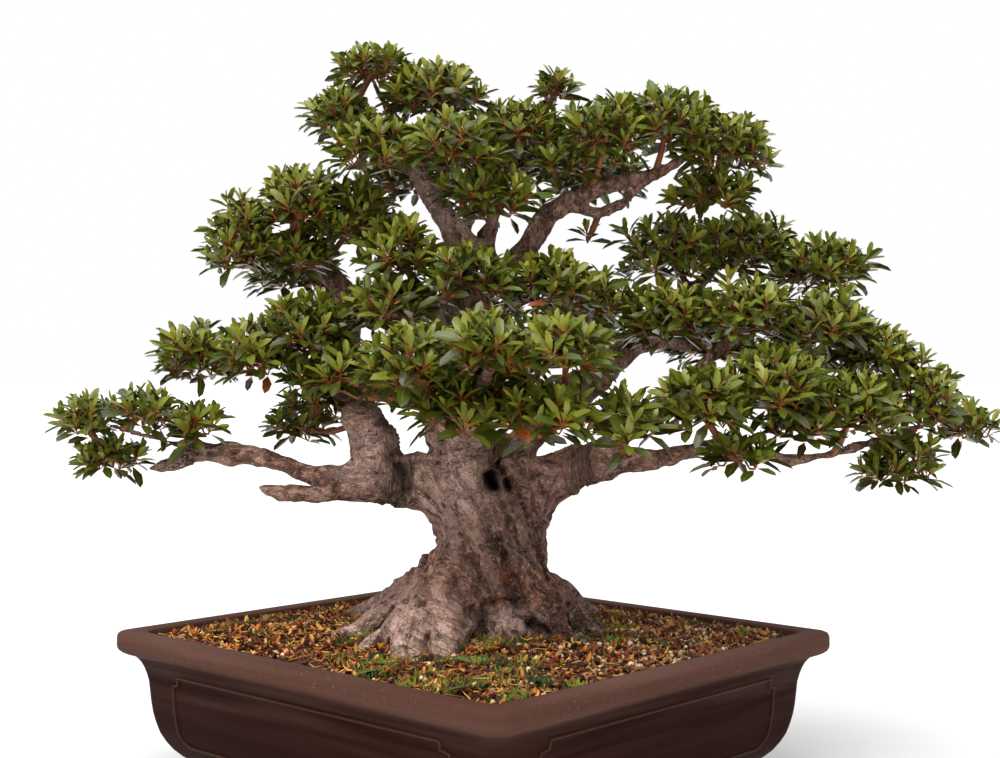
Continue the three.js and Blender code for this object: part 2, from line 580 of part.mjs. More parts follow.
const stoneware = new THREE.MeshStandardMaterial({ color: 0x3b2420, roughness: 0.55, metalness: 0 });
const mesh = new THREE.MeshStandardMaterial({ color: 0x1f2422, roughness: 0.7, metalness: 0 });
const pumice = new THREE.MeshStandardMaterial({ color: 0x9a8a72, roughness: 0.95, metalness: 0 });
const earth = new THREE.MeshStandardMaterial({ color: 0x7a5a35, roughness: 0.95, metalness: 0 });
const bark = new THREE.MeshStandardMaterial({ color: 0x7d6a60, roughness: 0.85, metalness: 0 });
const leaf = new THREE.MeshStandardMaterial({ color: 0x4c6b2c, roughness: 0.5, metalness: 0 });

const tree = new THREE.Group();

// Adds a named piece made from a solid.
function addPiece(name, solid, material) {
  const piece = new THREE.Mesh(geometryOf(solid), material);
  piece.name = name;
  tree.add(piece);
}

const wood = woodSolid(0);
const clearWood = woodSolid(GAP);
addPiece('pot', potSolid(), stoneware);
DRAIN_PLACES.forEach((place, i) => addPiece(`drain_screen_${i + 1}`, screenSolid(place), mesh));
addPiece('drainage_grit', drainageSolid(), pumice);
addPiece('soil', soilSolid(clearWood), earth);
addPiece('wood', wood, bark);
for (const { name, body } of spraySolids(clearWood)) addPiece(`leaves_${name}`, body, leaf);

// The origin lies under the middle of the whole object, on the surface that it stands on.
const extent = new THREE.Box3().setFromObject(tree);
const middle = extent.getCenter(new THREE.Vector3());
tree.position.set(-middle.x, -middle.y, POT_HEIGHT);

const bonsai = new THREE.Group();
bonsai.add(tree);

export default bonsai;
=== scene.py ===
# A satsuki azalea bonsai with its square stoneware pot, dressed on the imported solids.
# Metres, +Z up, the front towards -Y. Tables of places are millimetres from the pot's middle and rim.
import math
import bpy
import numpy as np
from mathutils import Matrix, Vector, noise
from mathutils.bvhtree import BVHTree


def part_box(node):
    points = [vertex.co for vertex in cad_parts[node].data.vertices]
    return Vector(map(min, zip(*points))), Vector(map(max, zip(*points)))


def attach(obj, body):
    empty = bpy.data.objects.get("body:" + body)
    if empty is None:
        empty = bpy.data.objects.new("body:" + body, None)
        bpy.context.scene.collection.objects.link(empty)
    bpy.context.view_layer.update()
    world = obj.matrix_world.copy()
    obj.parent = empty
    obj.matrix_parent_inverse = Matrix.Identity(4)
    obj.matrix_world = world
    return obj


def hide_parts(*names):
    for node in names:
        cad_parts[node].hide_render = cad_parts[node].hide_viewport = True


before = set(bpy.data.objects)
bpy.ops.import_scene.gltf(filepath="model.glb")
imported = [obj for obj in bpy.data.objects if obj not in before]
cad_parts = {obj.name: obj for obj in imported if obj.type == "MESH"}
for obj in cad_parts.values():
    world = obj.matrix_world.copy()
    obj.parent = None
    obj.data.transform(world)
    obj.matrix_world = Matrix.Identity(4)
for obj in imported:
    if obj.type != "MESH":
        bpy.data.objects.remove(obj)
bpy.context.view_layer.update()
bpy.ops.object.select_all(action="DESELECT")

# Pot: a square of dark red-brown stoneware, pressed in one piece with its flat lip and four feet,
# smoothed while leather-hard and fired without glaze. Level streaks vary its roughness and relief;
# paler streaks high on its walls and its greyer lip are painted sheen.
POT_LOW, POT_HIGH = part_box("pot")
POT_MIDDLE = (POT_LOW + POT_HIGH) / 2
RIM = POT_HIGH.z
POT_TURN = math.radians(47)
LONG_WAY = Vector((-math.sin(POT_TURN), math.cos(POT_TURN), 0))
SHORT_WAY = Vector((math.cos(POT_TURN), math.sin(POT_TURN), 0))
POT_LONG_HALF = 0.248
POT_SHORT_HALF = 0.230
POT_CORNER = 0.0145
POT_CORNER_STEPS = 7
# The pot's profile as inset and height, in metres from the rim's outside and top: up the wall, over
# the lip and down the inside to the floor.
POT_PROFILE = [
    (0.082, -0.130), (0.0735, -0.1292), (0.0655, -0.1274), (0.0585, -0.1245), (0.0520, -0.1210),
    (0.0455, -0.1165), (0.0390, -0.1100), (0.0340, -0.1025), (0.0300, -0.0945), (0.0272, -0.0850),
    (0.0252, -0.0760), (0.0240, -0.0670), (0.0231, -0.0560), (0.0223, -0.0460), (0.0208, -0.0390),
    (0.0190, -0.0330), (0.0168, -0.0280), (0.0144, -0.0247), (0.0124, -0.0229), (0.0110, -0.0222),
    (0.0070, -0.0210), (0.0036, -0.0192), (0.0014, -0.0172), (0.0003, -0.0148), (0.0000, -0.0125),
    (0.0001, -0.0055), (0.0005, -0.0032), (0.0015, -0.0013), (0.0032, -0.0003), (0.0052, 0.0),
    (0.0200, 0.0), (0.0212, -0.0004), (0.0219, -0.0014), (0.0222, -0.0030), (0.0226, -0.0135),
    (0.0320, -0.022), (0.0350, -0.046), (0.0400, -0.078), (0.0500, -0.098), (0.0660, -0.112),
    (0.0860, -0.118),
]
FOOT_INSET = 0.108
FOOT_TOP = 0.063
FOOT_BASE = 0.052
FOOT_DEEP = 0.016
FOOT_ROUND = 0.002
DRAIN_PLACES = (-0.095, 0.095)
DRAIN_RADIUS = 0.017
DRAIN_DEEP = 0.06
# Half the width of the panels on the long and short sides, and where they end below the rim.
PANEL_LONG = 0.178
PANEL_SHORT = 0.160
PANEL_TOP = -0.036
PANEL_FOOT = -0.102
# The lip tone and the streak tone are painted sheen; the body, panel and dust tones are the clay's own.
CLAY_BODY = "#29130d"
CLAY_LIP_SHEEN = "#5b3e34"
CLAY_PANEL = "#27100a"
CLAY_PAINTED_SHEEN = "#78594f"
CLAY_DUST = "#9c8468"


def at(x, y, z):
    """The point that lies x, y and z millimetres from the pot's middle at the level of its rim."""
    return Vector((POT_MIDDLE.x + x / 1000, POT_MIDDLE.y + y / 1000, RIM + z / 1000))


def in_pot(long_way, short_way, height):
    """The point so many metres along the pot's long and short sides, at a height in metres."""
    middle = Vector((POT_MIDDLE.x, POT_MIDDLE.y, height))
    return middle + LONG_WAY * long_way + SHORT_WAY * short_way


def tone(code):
    """A colour code as the linear colour that a shader takes."""
    parts = [int(code[i:i + 2], 16) / 255 for i in (1, 3, 5)]
    return [p / 12.92 if p <= 0.04045 else ((p + 0.055) / 1.055) ** 2.4 for p in parts] + [1]


def feed(socket, value):
    """Sets an input to a value, or joins it to another node's socket."""
    if isinstance(value, bpy.types.NodeSocket):
        socket.id_data.links.new(value, socket)
    else:
        socket.default_value = value


def add_node(near, kind, inputs=None, **settings):
    """A node of this kind in the same tree as another, with its settings and inputs."""
    made = near.id_data.nodes.new("ShaderNode" + kind)
    for key, value in settings.items():
        setattr(made, key, value)
    for key, value in (inputs or {}).items():
        feed(made.inputs[key], value)
    return made


def start_finish(name, roughness):
    """A new finish, its shader, and each point's place in the piece's own coordinates."""
    finish = bpy.data.materials.new(name)
    finish.use_nodes = True
    shader = finish.node_tree.nodes["Principled BSDF"]
    shader.inputs["Roughness"].default_value = roughness
    return finish, shader, add_node(shader, "TexCoord").outputs["Object"]


def mix(share, first, second):
    """Two colours mixed by a share."""
    near = share if isinstance(share, bpy.types.NodeSocket) else first
    return add_node(near, "Mix", {0: share, 6: first, 7: second}, data_type="RGBA").outputs[2]


def fade(value, low, high):
    """0 where the value is at low, 1 where it is at high, and even between them."""
    return add_node(value, "MapRange", {"Value": value, "From Min": low, "From Max": high}).outputs[0]


def sums(how, first, second=0):
    """One step of arithmetic on a number, or on two."""
    return add_node(first, "Math", {0: first, 1: second}, operation=how).outputs[0]


def times(first, second):
    """The product of two numbers."""
    return sums("MULTIPLY", first, second)


def plus(first, second):
    """The sum of two numbers."""
    return sums("ADD", first, second)


def less(first, second):
    """The first number less the second."""
    return sums("SUBTRACT", first, second)


def tint(colour, mask, share, code):
    """A colour with another laid over it where a mask says, at most to a share."""
    return mix(times(mask, share), colour, tone(code))


def clouds(place, scale, detail, warp=0):
    """Soft noise: how many clouds a metre, how much fine detail in them and how warped they are."""
    inputs = {"Vector": place, "Scale": scale, "Detail": detail, "Distortion": warp}
    return add_node(place, "TexNoise", inputs).outputs["Fac"]


def parts_of(vector):
    """The X, Y and Z of a vector."""
    return add_node(vector, "SeparateXYZ", {0: vector}).outputs


def cells(place, scale):
    """How far each point is from the middle of its cell, with so many cells a metre."""
    return add_node(place, "TexVoronoi", {"Vector": place, "Scale": scale}).outputs["Distance"]


def make_mottle():
    """The shared effect of soft patches and fine grain: sizes in patches and grains a metre."""
    group = bpy.data.node_groups.new("mottle", "ShaderNodeTree")
    for name, way, kind in (("Place", "INPUT", "Vector"), ("Patches", "INPUT", "Float"),
                            ("Grains", "INPUT", "Float"), ("Patch", "OUTPUT", "Float"),
                            ("Grain", "OUTPUT", "Float")):
        group.interface.new_socket(name, in_out=way, socket_type="NodeSocket" + kind)
    source = group.nodes.new("NodeGroupInput").outputs
    result = group.nodes.new("NodeGroupOutput").inputs
    for size, name, detail in (("Patches", "Patch", 4), ("Grains", "Grain", 3)):
        feed(result[name], fade(clouds(source["Place"], source[size], detail), 0.32, 0.68))
    return group


MOTTLE = make_mottle()


def mottle(place, patches, grains):
    """The patch and grain of the shared mottle at this place."""
    made = add_node(place, "Group", node_tree=MOTTLE)
    for key, value in (("Place", place), ("Patches", patches), ("Grains", grains)):
        feed(made.inputs[key], value)
    return made.outputs["Patch"], made.outputs["Grain"]


def paint(shader, colour):
    """Sends a colour to the shader."""
    feed(shader.inputs["Base Color"], colour)


def raise_surface(shader, height, strength, distance):
    """A bump from a height, on the shader's normal."""
    inputs = {"Height": height, "Strength": strength, "Distance": distance}
    feed(shader.inputs["Normal"], add_node(shader, "Bump", inputs).outputs[0])


def between(first, second, share):
    """The colour that lies a share of the way from one to another."""
    return [a + (b - a) * share for a, b in zip(first, second)]


def make_stoneware(name, bead_highlight):
    """Dark clay, redder in the panels; its greyer lip and paler level streaks high on its walls are
    painted sheen, and the last argument is how far a painted highlight pales it all over.
    """
    finish, shader, place = start_finish(name, 0.6)
    shader.inputs["Specular IOR Level"].default_value = 0.02
    high = less(parts_of(place)["Z"], RIM)
    patch, grain = mottle(place, 9, 700)
    level = add_node(shader, "Mapping", {"Vector": place, "Scale": (4, 4, 85)}).outputs[0]
    streak = fade(clouds(level, 1, 2.5), 0.38, 0.78)
    middle = Matrix.Rotation(-POT_TURN, 3, "Z") @ Vector((POT_MIDDLE.x, POT_MIDDLE.y, 0))
    square = add_node(shader, "Mapping", {"Vector": place, "Rotation": (0, 0, -POT_TURN),
                                          "Location": -middle}).outputs[0]
    sides = parts_of(square)
    along = fade(sums("ABSOLUTE", sides["Y"]), PANEL_LONG + 0.0015, PANEL_LONG - 0.0005)
    across = fade(sums("ABSOLUTE", sides["X"]), PANEL_SHORT + 0.0015, PANEL_SHORT - 0.0005)
    inside = sums("MAXIMUM", along, across)
    inside = times(inside, fade(high, PANEL_TOP + 0.001, PANEL_TOP - 0.001))
    inside = times(inside, fade(high, PANEL_FOOT - 0.001, PANEL_FOOT + 0.001))
    lip = fade(high, -0.028, -0.013)
    body = tone(CLAY_BODY)
    colour = mix(patch, body, between(body, tone(CLAY_PANEL), 0.5))
    colour = tint(colour, inside, 0.75, CLAY_PANEL)
    # Painted sheen: the lip is painted greyer and paler, for the sky's reflection.
    colour = tint(colour, lip, 0.85, CLAY_LIP_SHEEN)
    # Painted sheen: paler level streaks high on the walls stand in for soft highlights.
    painted_sheen = times(streak, fade(high, -0.08, -0.008))
    colour = tint(colour, painted_sheen, 0.42, CLAY_PAINTED_SHEEN)
    # Painted highlight: a bead is painted paler all over, towards the sheen tone, for the light along its
    # raised line.
    if bead_highlight:
        colour = mix(plus(times(grain, 0.2), bead_highlight), colour, tone(CLAY_PAINTED_SHEEN))
    dust = times(fade(cells(place, 210), 0.16, 0.1), times(lip, patch))
    colour = tint(colour, dust, 0.55, CLAY_DUST)
    paint(shader, colour)
    feed(shader.inputs["Roughness"], plus(times(streak, -0.14), 0.56))
    raise_surface(shader, plus(times(streak, 0.4), times(grain, 0.2)), 0.25, 0.0005)
    return finish


def give(piece, finish):
    """Puts a finish on a piece, in place of what it had."""
    if piece.material_slots:
        piece.material_slots[0].material = finish
    else:
        piece.data.materials.append(finish)


def pick(piece):
    """Selects one piece alone and makes it the active one."""
    bpy.ops.object.select_all(action="DESELECT")
    piece.select_set(True)
    bpy.context.view_layer.objects.active = piece


def edit(change, **how):
    """Runs one edit-mode operator on the whole mesh of the active piece."""
    bpy.ops.object.mode_set(mode="EDIT")
    bpy.ops.mesh.select_all(action="SELECT")
    change(**how)
    bpy.ops.object.mode_set(mode="OBJECT")


def modify(piece, kind, **settings):
    """Gives a piece a modifier and applies it."""
    change = piece.modifiers.new(kind, kind)
    for key, value in settings.items():
        setattr(change, key, value)
    bpy.context.view_layer.objects.active = piece
    bpy.ops.object.modifier_apply(modifier=change.name)


def smooth(piece, degrees=None):
    """Shades a piece smooth all over, or only where its faces meet at less than an angle."""
    pick(piece)
    if degrees:
        bpy.ops.object.shade_smooth_by_angle(angle=math.radians(degrees))
    else:
        bpy.ops.object.shade_smooth()


def press_pot():
    """The pot's body: a rounded square pressed out along its profile, from its underside to its floor."""
    bpy.ops.mesh.primitive_plane_add(size=1, location=POT_MIDDLE, rotation=(0, 0, POT_TURN))
    pot = bpy.context.object
    pot.name = "pot_stoneware"
    pot.scale = (2 * POT_SHORT_HALF, 2 * POT_LONG_HALF, 1)
    bpy.ops.object.transform_apply()
    edit(bpy.ops.mesh.bevel, affect="VERTICES", offset=POT_CORNER, segments=POT_CORNER_STEPS)
    bpy.ops.object.mode_set(mode="EDIT")
    last_size, last_height = 1, POT_MIDDLE.z
    for i, (inset, height) in enumerate(POT_PROFILE):
        size = 1 - inset / POT_LONG_HALF
        if i:
            bpy.ops.mesh.extrude_region_move()
        growth = size / last_size
        bpy.ops.transform.resize(value=(growth, growth, 1), center_override=POT_MIDDLE)
        bpy.ops.transform.translate(value=(0, 0, RIM + height - last_height))
        last_size, last_height = size, RIM + height
    bpy.ops.object.mode_set(mode="OBJECT")
    edit(bpy.ops.mesh.normals_make_consistent, inside=False)
    return pot


def shape_pot(pot, tool, operation):
    """Joins a shape to the pot or cuts it out."""
    modify(pot, "BOOLEAN", operation=operation, object=tool)
    bpy.data.objects.remove(tool)


def add_foot(long_side, short_side):
    """One low foot under a corner of the pot, wider where it leaves the body."""
    place = in_pot(long_side * (POT_LONG_HALF - FOOT_INSET), short_side * (POT_SHORT_HALF - FOOT_INSET),
                   POT_LOW.z + FOOT_DEEP / 2)
    bpy.ops.mesh.primitive_cone_add(vertices=4, radius1=FOOT_BASE, radius2=FOOT_TOP, depth=FOOT_DEEP,
                                    location=place, rotation=(0, 0, POT_TURN + math.pi / 4))
    edit(bpy.ops.mesh.bevel, offset=FOOT_ROUND, segments=3, affect="EDGES")
    return bpy.context.object


pot = press_pot()
for long_side, short_side in ((1, 1), (-1, 1), (-1, -1), (1, -1)):
    shape_pot(pot, add_foot(long_side, short_side), "UNION")
for place in DRAIN_PLACES:
    bpy.ops.mesh.primitive_cylinder_add(vertices=32, radius=DRAIN_RADIUS, depth=DRAIN_DEEP,
                                        location=in_pot(place, 0, POT_LOW.z + DRAIN_DEEP / 3))
    shape_pot(pot, bpy.context.object, "DIFFERENCE")
smooth(pot, 40)
give(pot, make_stoneware("brushed_stoneware", 0))
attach(pot, "root")
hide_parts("pot")

# Panels: on each side of the pot a thin raised bead frames a plain panel, pressed up from the wall.
# Its upper corners step inwards and its lower corners are round.
BEAD_RADIUS = 0.0015
PANEL_NOTCH = 0.009
PANEL_ROUND = 0.016
PANEL_STEP = 0.004


def tree_of(piece):
    """A search tree over a piece's faces."""
    faces = [list(p.vertices) for p in piece.data.polygons]
    return BVHTree.FromPolygons([v.co for v in piece.data.vertices], faces)


def panel_outline(half):
    """The bead's corners along the wall and below the rim, once round."""
    notch = [(half - PANEL_NOTCH, PANEL_TOP), (half - PANEL_NOTCH, PANEL_TOP - PANEL_NOTCH * 0.8),
             (half, PANEL_TOP - PANEL_NOTCH)]
    turn = []
    for i in range(7):
        angle = math.radians(15 * i)
        turn.append((half - PANEL_ROUND + PANEL_ROUND * math.cos(angle),
                     PANEL_FOOT + PANEL_ROUND - PANEL_ROUND * math.sin(angle)))
    right = notch + turn
    return right + [(-x, z) for x, z in reversed(right)]


def show(name, data):
    """A new object in the scene, with this mesh, curve, light or camera."""
    piece = bpy.data.objects.new(name, data)
    bpy.context.scene.collection.objects.link(piece)
    return piece


def tubes(name, runs, sides, closed=False):
    """One mesh of round tubes. Each run is a list of points, each with its radius."""
    curve = bpy.data.curves.new(name, "CURVE")
    curve.dimensions = "3D"
    curve.bevel_depth = 1
    curve.bevel_resolution = max(0, sides // 2 - 2)
    curve.use_fill_caps = not closed
    for run in runs:
        line = curve.splines.new("POLY")
        line.points.add(len(run) - 1)
        line.use_cyclic_u = closed
        for point, (place, radius) in zip(line.points, run):
            point.co = (*place, 1)
            point.radius = radius
    piece = show(name, curve)
    pick(piece)
    bpy.ops.object.convert(target="MESH")
    smooth(piece)
    return piece


def lay_bead(outline, out, way, wall):
    """Follows an outline along one wall of the pot and keeps to its surface."""
    run = []
    for (x, z), (next_x, next_z) in zip(outline, outline[1:] + outline[:1]):
        steps = max(1, round(math.hypot(next_x - x, next_z - z) / PANEL_STEP))
        for i in range(steps):
            part = i / steps
            start = Vector((POT_MIDDLE.x, POT_MIDDLE.y, RIM + z + (next_z - z) * part))
            start += way * (x + (next_x - x) * part) + out * 0.5
            run.append((wall.ray_cast(start, -out)[0], BEAD_RADIUS))
    return run


wall = tree_of(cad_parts["pot"])
bead_runs = []
for sign in (1, -1):
    bead_runs.append(lay_bead(panel_outline(PANEL_LONG), SHORT_WAY * -sign, LONG_WAY, wall))
    bead_runs.append(lay_bead(panel_outline(PANEL_SHORT), LONG_WAY * -sign, SHORT_WAY, wall))
beads = tubes("panel_beads", bead_runs, 8, closed=True)
# The beads are painted paler as a painted highlight.
give(beads, make_stoneware("bead_painted_highlight", 0.14))
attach(beads, "root")

# Drain screens and grit: a square of dark plastic mesh over each drain hole, and coarse pale pumice
# laid over them so that water runs off. Both are out of sight under the soil.
SCREEN_PLASTIC = "#20262a"
SCREEN_WORN = "#2f3638"
PUMICE_PALE = "#b9a98c"
PUMICE_DARK = "#7d6b52"


def make_speckled(name, roughness, dark, pale, strength, depth):
    """A plain finish of two tones in soft patches, with a fine grain."""
    finish, shader, place = start_finish(name, roughness)
    patch, grain = mottle(place, 60, 900)
    paint(shader, mix(patch, tone(dark), tone(pale)))
    raise_surface(shader, grain, strength, depth)
    return finish


def make_pumice():
    """Pale porous stones, with painted shade in the gaps between them."""
    finish, shader, place = start_finish("drainage_pumice", 0.95)
    patch, grain = mottle(place, 90, 600)
    stones = cells(place, 130)
    colour = mix(patch, tone(PUMICE_DARK), tone(PUMICE_PALE))
    # Painted shade: the gaps between the stones are painted dark.
    paint(shader, mix(fade(stones, 0.2, 0.7), colour, tone(PUMICE_DARK)))
    raise_surface(shader, plus(stones, grain), 0.8, 0.002)
    return finish


screen_finish = make_speckled("screen_plastic", 0.55, SCREEN_PLASTIC, SCREEN_WORN, 0.2, 0.0003)
for name in ("drain_screen_1", "drain_screen_2"):
    give(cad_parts[name], screen_finish)
give(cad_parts["drainage_grit"], make_pumice())

# Wood: trunk, surface roots, branches and twigs, grown as one piece. The bark is thin and greyish
# pink, pale on the roots and young wood, dark umber and rust-flecked low on the trunk, and wrinkled.
BARK_PALE = "#f6cab9"
BARK_PINK = "#ab7864"
BARK_GREY = "#76543f"
BARK_UMBER = "#38231b"
BARK_RUST = "#bb6234"
BARK_MOSS = "#4f5420"
BARK_LICHEN = "#d6bbac"
# Painted shade inside the sunk places.
BARK_HOLLOW_SHADE = "#170d09"
# Where the bark is pale on the small front root and on the left limb's bend, and damp in its crook.
ROOT_KNOB = (30, -80, 10)
LIMB_BEND = (-94, -30, 170)
LIMB_CROOK = (-60, -46, 143)
WOOD_VOXEL = 0.0026
TRUNK_AXIS = at(14, -12, 0)
# The grain: how it twists in radians a metre, how much it is drawn out, and its radius on the trunk.
TRUNK_TWIST = 6.5
GRAIN_STRETCH = 0.46
GRAIN_ROUND = 0.055
# The depth in metres of what shapes the bark: folds, lumps and knobs, then ridges, grooves and pits.
FOLD_DEEP, LUMP_DEEP, KNOB_DEEP = 0.007, 0.0042, 0.0034
RIDGE_DEEP, GROOVE_DEEP, PIT_DEEP = 0.0036, 0.0014, 0.006
# How fine they are: the noise cells in the folds' radius round the trunk, and all others to a metre.
FOLDS_ROUND, FOLDS_UP = 3.1, 9
LUMPS, KNOBS, RIDGES, GROOVES, PITS = 38, 88, 70, 210, 150
# How far, in metres, the low left limb is pared above, its stub lifted, and the trunk's left side pared.
LIMB_SLIM = 0.004
STUB_LIFT = 0.005
FLANK_SLIM = 0.008
# The heights over the rim between which the limb parts from its stub, and of the pared side's middle.
LIMB_PARTING = (0.134, 0.143)
FLANK_HEIGHT = 0.062
# Ridges that run from the roots up the trunk, and rounder roots: x, y, height, radius.
ROOT_RIDGES = [
    [(-4, -46, 112, 13), (-10, -56, 84, 18), (-26, -76, 50, 26), (-42, -104, 24, 23), (-52, -126, 7, 17),
     (-60, -146, -6, 9)],
    [(-26, -96, 28, 16), (-24, -126, 10, 15), (-22, -148, -3, 10)],
    [(24, -46, 42, 12), (28, -60, 25, 11), (30, -73, 11, 14), (31, -82, 1, 11)],
    [(26, -70, 8, 8), (12, -78, 2, 7), (3, -84, -6, 5)],
    [(34, -44, 108, 13), (44, -50, 68, 17), (56, -56, 34, 18), (67, -65, 8, 13), (74, -73, -6, 8)],
    [(46, -20, 104, 15), (48, -20, 68, 19), (64, -18, 36, 18), (94, -20, 10, 13), (122, -24, -2, 9),
     (142, -28, -10, 6)],
    [(62, -44, 24, 13), (84, -64, 8, 10), (102, -80, -1, 8), (110, -90, -8, 5)],
    [(-12, -26, 92, 11), (-28, -26, 60, 14), (-58, -32, 32, 12), (-90, -40, 14, 10), (-116, -48, 4, 9),
     (-134, -56, -6, 5)],
    [(-54, -50, 26, 14), (-76, -74, 8, 11), (-92, -94, 0, 9), (-102, -108, -8, 5)],
    [(-8, 8, 84, 11), (-25, 16, 48, 14), (-60, 34, 24, 15), (-98, 52, 8, 13), (-124, 64, -4, 9)],
    [(46, 16, 72, 16), (62, 44, 28, 17), (96, 72, 6, 12), (124, 94, -8, 8)],
    [(2, 30, 86, 20), (6, 70, 36, 20), (9, 110, 8, 14), (12, 140, -8, 8)],
    [(-22, 26, 46, 16), (-54, 68, 20, 15), (-80, 108, 2, 11), (-92, 128, -8, 7)],
    [(92, -40, 10, 10), (112, -54, 2, 8), (128, -62, -6, 5)],
]
# Burls and swellings on the trunk and the main limbs: x, y, height, radius.
BURLS = [
    (-90, -18, 156, 22), (-93, -31, 159, 19), (-84, -28, 180, 16), (-76, -30, 146, 20),
    (-104, -20, 202, 18), (-4, -40, 116, 22), (38, -34, 130, 22), (28, 6, 150, 15), (28, 12, 170, 11),
    (40, -36, 152, 13), (30, -74, 11, 15), (-46, -116, 22, 18), (96, -40, 20, 11), (-10, -30, 150, 26),
    (-24, -18, 180, 20), (-206, -34, 168, 11), (-52, -32, 142, 22), (112, -34, 160, 18),
    (-183, -50, 133, 8.5), (-130, -40, 138, 14), (90, 24, 222, 16), (-118, 4, 240, 15),
    (-22, 2, 236, 18),
]
# Where the bark sinks in on the tree's front: two ends as x and height, then radius, depth and how
# much painted shade darkens it inside.
SUNK = [
    (15, 146, 18, 140, 8, 22, 0.95), (24, 154, 23, 178, 5.5, 12, 0.5), (31, 143, 33, 138, 4.5, 12, 1),
    (-29, 181, -27, 179, 3.5, 6, 0.8), (-4, 30, -5, 4, 8, 12, 0.4), (54, 18, 66, 10, 7, 12, 0.45),
    (-67, 156, -58, 138, 8, 13, 0.55), (7, 30, 8, 6, 5, 9, 0.45), (12, 35, 46, 35, 5, 8, 0.35),
    (38, 130, 50, 106, 4.5, 6, 0.2), (-16, 58, -8, 20, 5, 8, 0.2), (78, 24, 84, 4, 5, 8, 0.4),
    (-70, 27, -80, 3, 5, 7, 0.4), (-64, 42, -88, 26, 4, 5, 0.3), (90, 32, 101, 10, 5, 7, 0.3),
    (-60, 132, -46, 122, 4, 5, 0.2), (-84, 186, -70, 172, 4, 5, 0.2),
    (2, 60, -2, 44, 3, 4, 0.2), (24, 92, 30, 78, 3.5, 4, 0.2), (60, 70, 66, 52, 3.5, 4, 0.2),
    (-44, 40, -50, 18, 3.5, 5, 0.2), (-36, 16, -34, 2, 5, 9, 0.3), (-110, 152, -98, 146, 4, 4, 0.2),
]


def model_wood():
    """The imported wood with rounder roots, ridges and burls, grown together under one bark."""
    pick(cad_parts["wood"])
    bpy.ops.object.duplicate()
    grown = bpy.context.object
    grown.name = "wood_bark"
    grown.data.materials.clear()
    edit(bpy.ops.mesh.remove_doubles, threshold=0.00001)
    runs = [[(at(x, y, z), r / 1000) for x, y, z, r in run] for run in ROOT_RIDGES]
    roots = tubes("roots", runs, 12)
    swellings = []
    for x, y, z, r in BURLS:
        bpy.ops.mesh.primitive_ico_sphere_add(subdivisions=3, radius=r / 1000, location=at(x, y, z))
        swellings.append(bpy.context.object)
    pick(grown)
    for piece in [roots] + swellings:
        piece.select_set(True)
    bpy.ops.object.join()
    modify(grown, "REMESH", mode="VOXEL", voxel_size=WOOD_VOXEL)
    modify(grown, "SMOOTH", factor=0.5, iterations=5)
    return grown


def clip(value):
    """The number, kept between 0 and 1."""
    return max(0, min(1, value))


def smooth_step(value, low, high):
    """0 up to low, 1 from high, and a soft rise between them."""
    part = clip((value - low) / (high - low))
    return part * part * (3 - 2 * part)


def away_from(x, z, ends):
    """How far a place on the tree's front is from a line between two others."""
    (x1, z1), (x2, z2) = ends
    long_x, long_z = x2 - x1, z2 - z1
    part = clip(((x - x1) * long_x + (z - z1) * long_z) / (long_x * long_x + long_z * long_z))
    return math.hypot(x - x1 - part * long_x, z - z1 - part * long_z)


def twisted(spread, height, radius, rise):
    """The way from the trunk's axis, turned as the grain twists down to the right, at a set radius."""
    turn = math.atan2(spread.y, spread.x) + height * TRUNK_TWIST
    return Vector((math.cos(turn) * radius, math.sin(turn) * radius, rise))


def grain_place(place, spread, height):
    """Where a place lies along and across the wood's grain."""
    trunk = twisted(spread, height, GRAIN_ROUND, (height - 0.9 * spread.length) * GRAIN_STRETCH)
    limb = Vector((place.x * GRAIN_STRETCH, place.y, place.z))
    rising = Vector((place.x, place.y, place.z * GRAIN_STRETCH))
    sideways = smooth_step(spread.length, 0.075, 0.105) * smooth_step(height, 0.07, 0.1)
    upwards = smooth_step(height, 0.19, 0.25)
    limb = limb.lerp(rising, upwards)
    return trunk.lerp(limb, max(sideways, upwards))


